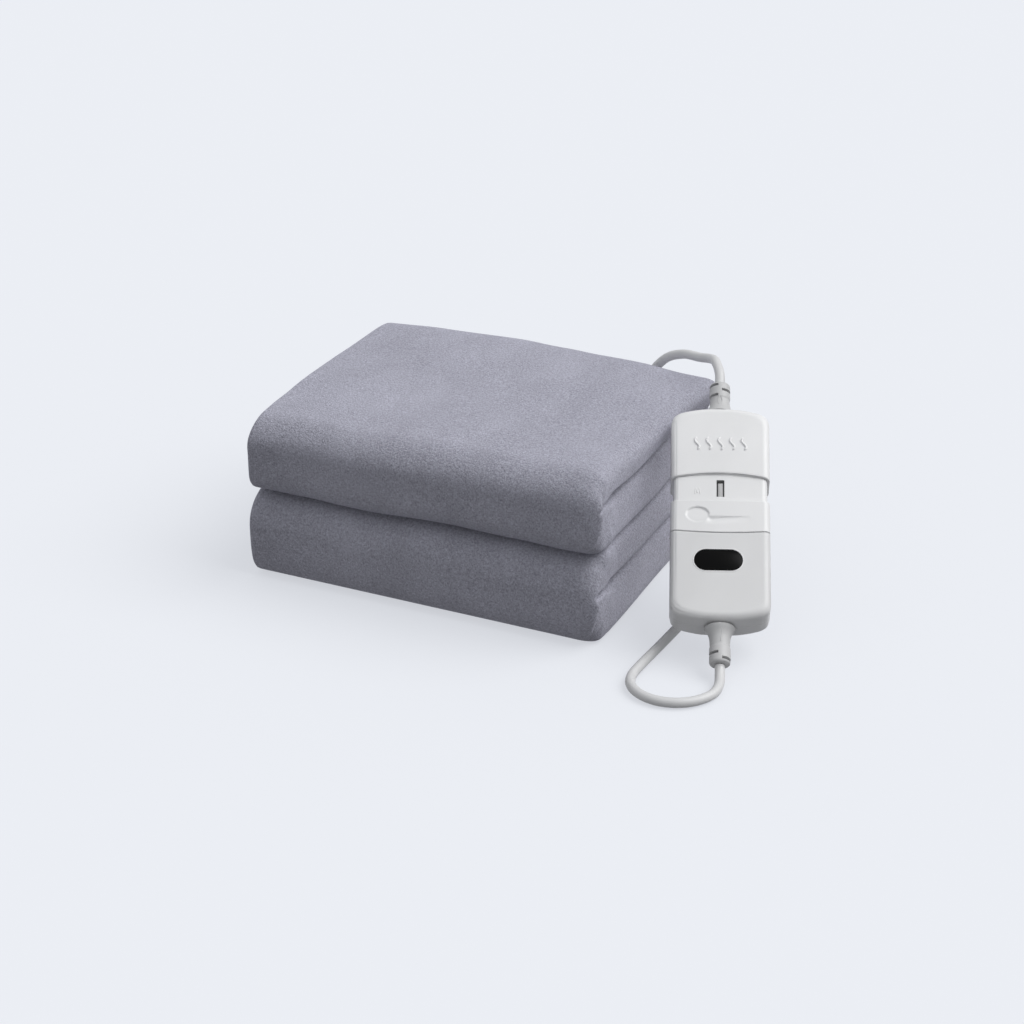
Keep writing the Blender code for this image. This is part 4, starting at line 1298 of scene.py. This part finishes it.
def relief_place(y, turn):
    return CASE @ Matrix.Translation((0, y, CASE_THICKNESS / 2)) @ Matrix.Rotation(turn, 4, "Z")


def make_reliefs():
    """The two tapered reliefs, each with staggered half grooves in its collar."""
    rows = [
        ("relief_upper", "strain_relief_top", RELIEF_TOP_LENGTH, relief_place(CASE_LENGTH + TOUCH_GAP, 0), 3),
        ("relief_lower", "strain_relief_bottom", RELIEF_BOTTOM_LENGTH, relief_place(-TOUCH_GAP, math.pi), 2),
    ]
    first, pitch, width, bottom = 0.0032, 0.0036, 0.0018, 0.0034
    for name, node, length, place, grooves in rows:
        body = turned(name, relief_profile(length), OFF_WHITE, place)
        cutters = []
        for k in range(grooves):
            y, side = length - first - pitch * k, 1 if k % 2 else -1
            cutters.append(half_ring_cutter(f"{name}_groove_{k}", place, y, width, side, bottom, 160))
        body = cut(body, cutters)
        round_shading(body.data, 38)
        fit(body, stands_for=[node])
    drop = [(0.0006, 0.0052), (0.0013, 0.0078), (0.0, 0.0122), (-0.0013, 0.0078), (-0.0006, 0.0052)]
    hook = [(-0.0004, 0.0108), (-0.0008, 0.0036), (0.0002, 0.0022), (0.0012, 0.0034)]
    heights, radii = zip(*sorted((y, radius) for radius, y in [(0.0060, 0.0120), *RELIEF_NECK]))
    marks = []
    for name, rows, place in (
        ("drop_mark", drop, relief_place(CASE_LENGTH, 0)),
        ("hook_mark", hook, relief_place(0, math.pi)),
    ):
        lifted = []
        for p in smooth([Vector((x, y, 0.0)) for x, y in rows], 0.0004):
            radius = np.interp(p.y, heights, radii)
            lifted.append(place @ Vector((p.x, p.y, math.sqrt(max(radius**2 - p.x**2, 0.0)))))
        marks.append(plain_mesh(tube(name, lifted, 0.00022, OFF_WHITE, 2)))
    fit(join("relief_marks", marks))


# ---------------------------------------------------------------- lead entry, tie and plug


def make_lead_entry():
    """A flat moulded tab in the recess that narrows to the round lead, with rings on its neck."""
    rows = [
        (0.0900, 0.0029, 0.0075), (0.1020, 0.0029, 0.0075), (0.1110, 0.0034, 0.0056),
        (0.1200, 0.0042, 0.0042),
    ]  # fmt: skip
    middle_y, middle_z, squareness, steps = 0.0692, 0.0460, 2.6, 40
    fine = smooth([Vector(row) for row in rows], 0.0012)

    def build(bm):
        rings = []
        for x, half_y, half_z in fine:
            ring = []
            for k in range(steps):
                angle = math.tau * (k + 0.5) / steps
                y = middle_y + half_y * power(math.cos(angle), squareness)
                z = middle_z + half_z * power(math.sin(angle), squareness)
                ring.append(bm.verts.new((x, y, z)))
            rings.append(ring)
        cover(bm, rings)

    entry = solid("lead_tab", build, OFF_WHITE)
    round_shading(entry.data, 50)
    fit(entry, stands_for=["lead_entry"])
    path = [Vector((0.1135, middle_y, middle_z)), Vector((0.1195, middle_y, middle_z))]
    sizes = {"Pitch": 0.0019, "Neck radius": 0.0040, "Rib radius": 0.0004}
    rings = grown("lead_tab_rings", RINGS, path, sizes, OFF_WHITE)
    return entry, fit(rings)


def make_tie():
    """A woven strap round the coil, with its end lapped over on top."""
    low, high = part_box("cord_tie")
    middle = Vector(((low.x + high.x) / 2, (low.y + high.y) / 2, (low.z + high.z) / 2))
    half_y, half_z = (high.y - low.y) / 2, (high.z - low.z) / 2
    corner, thickness, lap_thickness, lap_lift = 0.0022, 0.0010, 0.0008, 0.0009
    width = high.x - low.x

    def loop(inset):
        points = []
        for quarter in range(4):
            sy, sz = ((1, -1), (1, 1), (-1, 1), (-1, -1))[quarter]
            for k in range(7):
                angle = math.radians(-90 + 90 * quarter + 15 * k)
                radius = corner - inset
                y = sy * (half_y - corner) + radius * math.cos(angle)
                z = sz * (half_z - corner) + radius * math.sin(angle)
                points.append((middle.y + y, middle.z + z))
        return points

    outer, inner = loop(0.0), loop(thickness)
    top_z, far_y = middle.z + half_z - 0.0001, middle.y + half_y * 0.8
    lap = [(y, z) for y, z in loop(-lap_lift) if z > top_z or (y > far_y and z > middle.z)]
    under = [(y, z - lap_thickness) for y, z in lap]

    def build(bm):
        layer = bm.loops.layers.uv.new("lengths")
        for out_row, in_row, closed, share in ((outer, inner, True, 1.0), (lap, under, False, 0.94)):
            rings = []
            for out, into in zip(out_row, in_row):
                corners = ((-width / 2, out), (width / 2, out), (width / 2, into), (-width / 2, into))
                rings.append([bm.verts.new((middle.x + x * share, y, z)) for x, (y, z) in corners])
            cover(bm, rings, capped=not closed, looped=closed)
        for face in bm.faces:
            for corner_loop in face.loops:
                co = corner_loop.vert.co
                corner_loop[layer].uv = (co.y + co.z, co.x)

    tie = solid("coil_tie", build, STRAP)
    round_shading(tie.data, 40)
    return fit(tie, stands_for=["cord_tie"])


def make_plug():
    """A generic two-pin plug: a moulded body with grip ribs and a ringed neck, and two round pins."""
    low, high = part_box("plug_body")
    half = [
        (0.0255, 0.0042), (0.0185, 0.0046), (0.0120, 0.0060), (0.0066, 0.0092), (0.0020, 0.0115),
        (-0.0050, 0.0124), (-0.0120, 0.0125), (-0.0140, 0.0110),
    ]  # fmt: skip
    outline = [(half[0][0], -half[0][1]), *half, *((x, -y) for x, y in reversed(half[1:]))]
    body = prism("plug_shell", outline, low.z - PLUG_MIDDLE.z, high.z - PLUG_MIDDLE.z)
    body.data.transform(Matrix.Translation(PLUG_MIDDLE))
    body = soften(body, 0.0030, 5, 60)
    body.data.materials.append(WHITE)
    round_shading(body.data, 40)
    fit(body, stands_for=["plug_body"])

    ribs = []
    for k in range(5):
        x = PLUG_MIDDLE.x - 0.0105 + 0.0022 * k
        line = [
            Vector((x, PLUG_MIDDLE.y + side * 0.0070, high.z - 0.0001)) for side in (-1, -0.5, 0, 0.5, 1)
        ]
        ribs.append(plain_mesh(tube(f"rib_{k}", line, 0.0005, WHITE, 2)))
    grip = fit(join("plug_grip", ribs))

    neck = [Vector((x, PLUG_MIDDLE.y, PLUG_MIDDLE.z)) for x in (low.x + 0.0345, high.x - 0.0005)]
    sizes = {"Pitch": 0.0021, "Neck radius": 0.0044, "Rib radius": 0.0007}
    rings = grown("plug_rings", RINGS, neck, sizes, WHITE)
    fit(rings)
    pins = []
    for node in ("plug_pin_left", "plug_pin_right"):
        at_low, at_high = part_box(node)
        y = (at_low.y + at_high.y) / 2
        root = Matrix.Translation((at_high.x, y, PLUG_MIDDLE.z)) @ Matrix.Rotation(math.pi / 2, 4, "Z")
        radius, length = (at_high.y - at_low.y) / 2, at_high.x - at_low.x
        profile = [
            (0.0004, length), (radius * 0.55, length - 0.0002), (radius * 0.88, length - 0.0008),
            (radius, length - 0.0018), (radius, length * 0.45), (radius * 0.96, length * 0.44),
            (radius * 0.96, 0.0),
        ]  # fmt: skip
        pins.append(fit(turned(f"{node}_shaft", profile, METAL, root, 32), stands_for=[node]))
        guard_profile = [(radius * 0.97, length * 0.43), (radius, length * 0.42), (radius, 0.0)]
        pins.append(fit(turned(f"{node}_guard", guard_profile, BLACK_MATT, root, 32)))
    return [body, grip, rings, *pins]


# ---------------------------------------------------------------- stage

CLOTH_PIECES = ("blanket_cloth", "end_tape_upper", "end_tape_lower")


def make_stage():
    """A plain pale floor and soft light from the upper right and back."""
    bpy.ops.mesh.primitive_plane_add(size=30.0, location=(0.0, 0.0, 0.0))
    floor = bpy.context.active_object
    floor.name = "floor"
    material = bpy.data.materials.new("pale_floor")
    material.use_nodes = True
    shader = material.node_tree.nodes["Principled BSDF"]
    set_inputs(shader, Roughness=1.0, Specular_IOR_Level=0.0, Emission_Strength=1.0)
    shader.inputs["Base Color"].default_value = (0.25, 0.255, 0.262, 1.0)
    shader.inputs["Emission Color"].default_value = (0.55, 0.565, 0.602, 1.0)
    floor.data.materials.append(material)
    floor.visible_diffuse = False

    cloth = bpy.data.collections.new("cloth_light")
    others = bpy.data.collections.new("other_light")
    for name in CLOTH_PIECES:
        cloth.objects.link(bpy.data.objects[name])
        others.objects.link(bpy.data.objects[name])
    for row in others.collection_objects:
        row.light_linking.link_state = "EXCLUDE"
    suns = (
        ("key_on_cloth", 2.40, Vector((0.51, 0.44, 0.740)), cloth, cloth),
        ("key", 2.20, Vector((0.56, 0.236, 0.790)), None, others),
    )
    for name, energy, towards, blockers, receivers in suns:
        key = bpy.data.lights.new(name, "SUN")
        key.energy = energy
        key.angle = math.radians(50)
        lamp = add(name, key)
        lamp.rotation_euler = towards.to_track_quat("Z", "Y").to_euler()
        lamp.light_linking.receiver_collection = receivers
        if blockers is not None:
            lamp.light_linking.blocker_collection = blockers

    bpy.context.scene.view_settings.view_transform = "Standard"
    world = bpy.data.worlds.new("studio")
    bpy.context.scene.world = world
    world.use_nodes = True
    tree = world.node_tree
    up = put(tree, "ShaderNodeSeparateXYZ", {"Vector": put(tree, "ShaderNodeTexCoord").outputs["Generated"]})
    tone = ramp(tree, put(
        tree, "ShaderNodeMapRange", {"Value": up.outputs["Z"], "From Min": -1.0, "From Max": 1.0}
    ).outputs[0], [(0.46, (0.17, 0.17, 0.175)), (0.56, (0.58, 0.59, 0.61))])  # fmt: skip
    tree.links.new(tone, tree.nodes["Background"].inputs["Color"])


# ---------------------------------------------------------------- putting it together

make_camera()
mains, lead = make_cords()
make_cloth()
make_lower_shell()
make_upper_shell()
make_track()
make_sleeve()
make_reliefs()
entry_pieces = make_lead_entry()
coil_tie = make_tie()
plug_pieces = make_plug()
make_stage()

fit(mains, stands_for=["mains_lead", "mains_coil", "mains_tail"])
fit(lead, stands_for=["blanket_lead"])
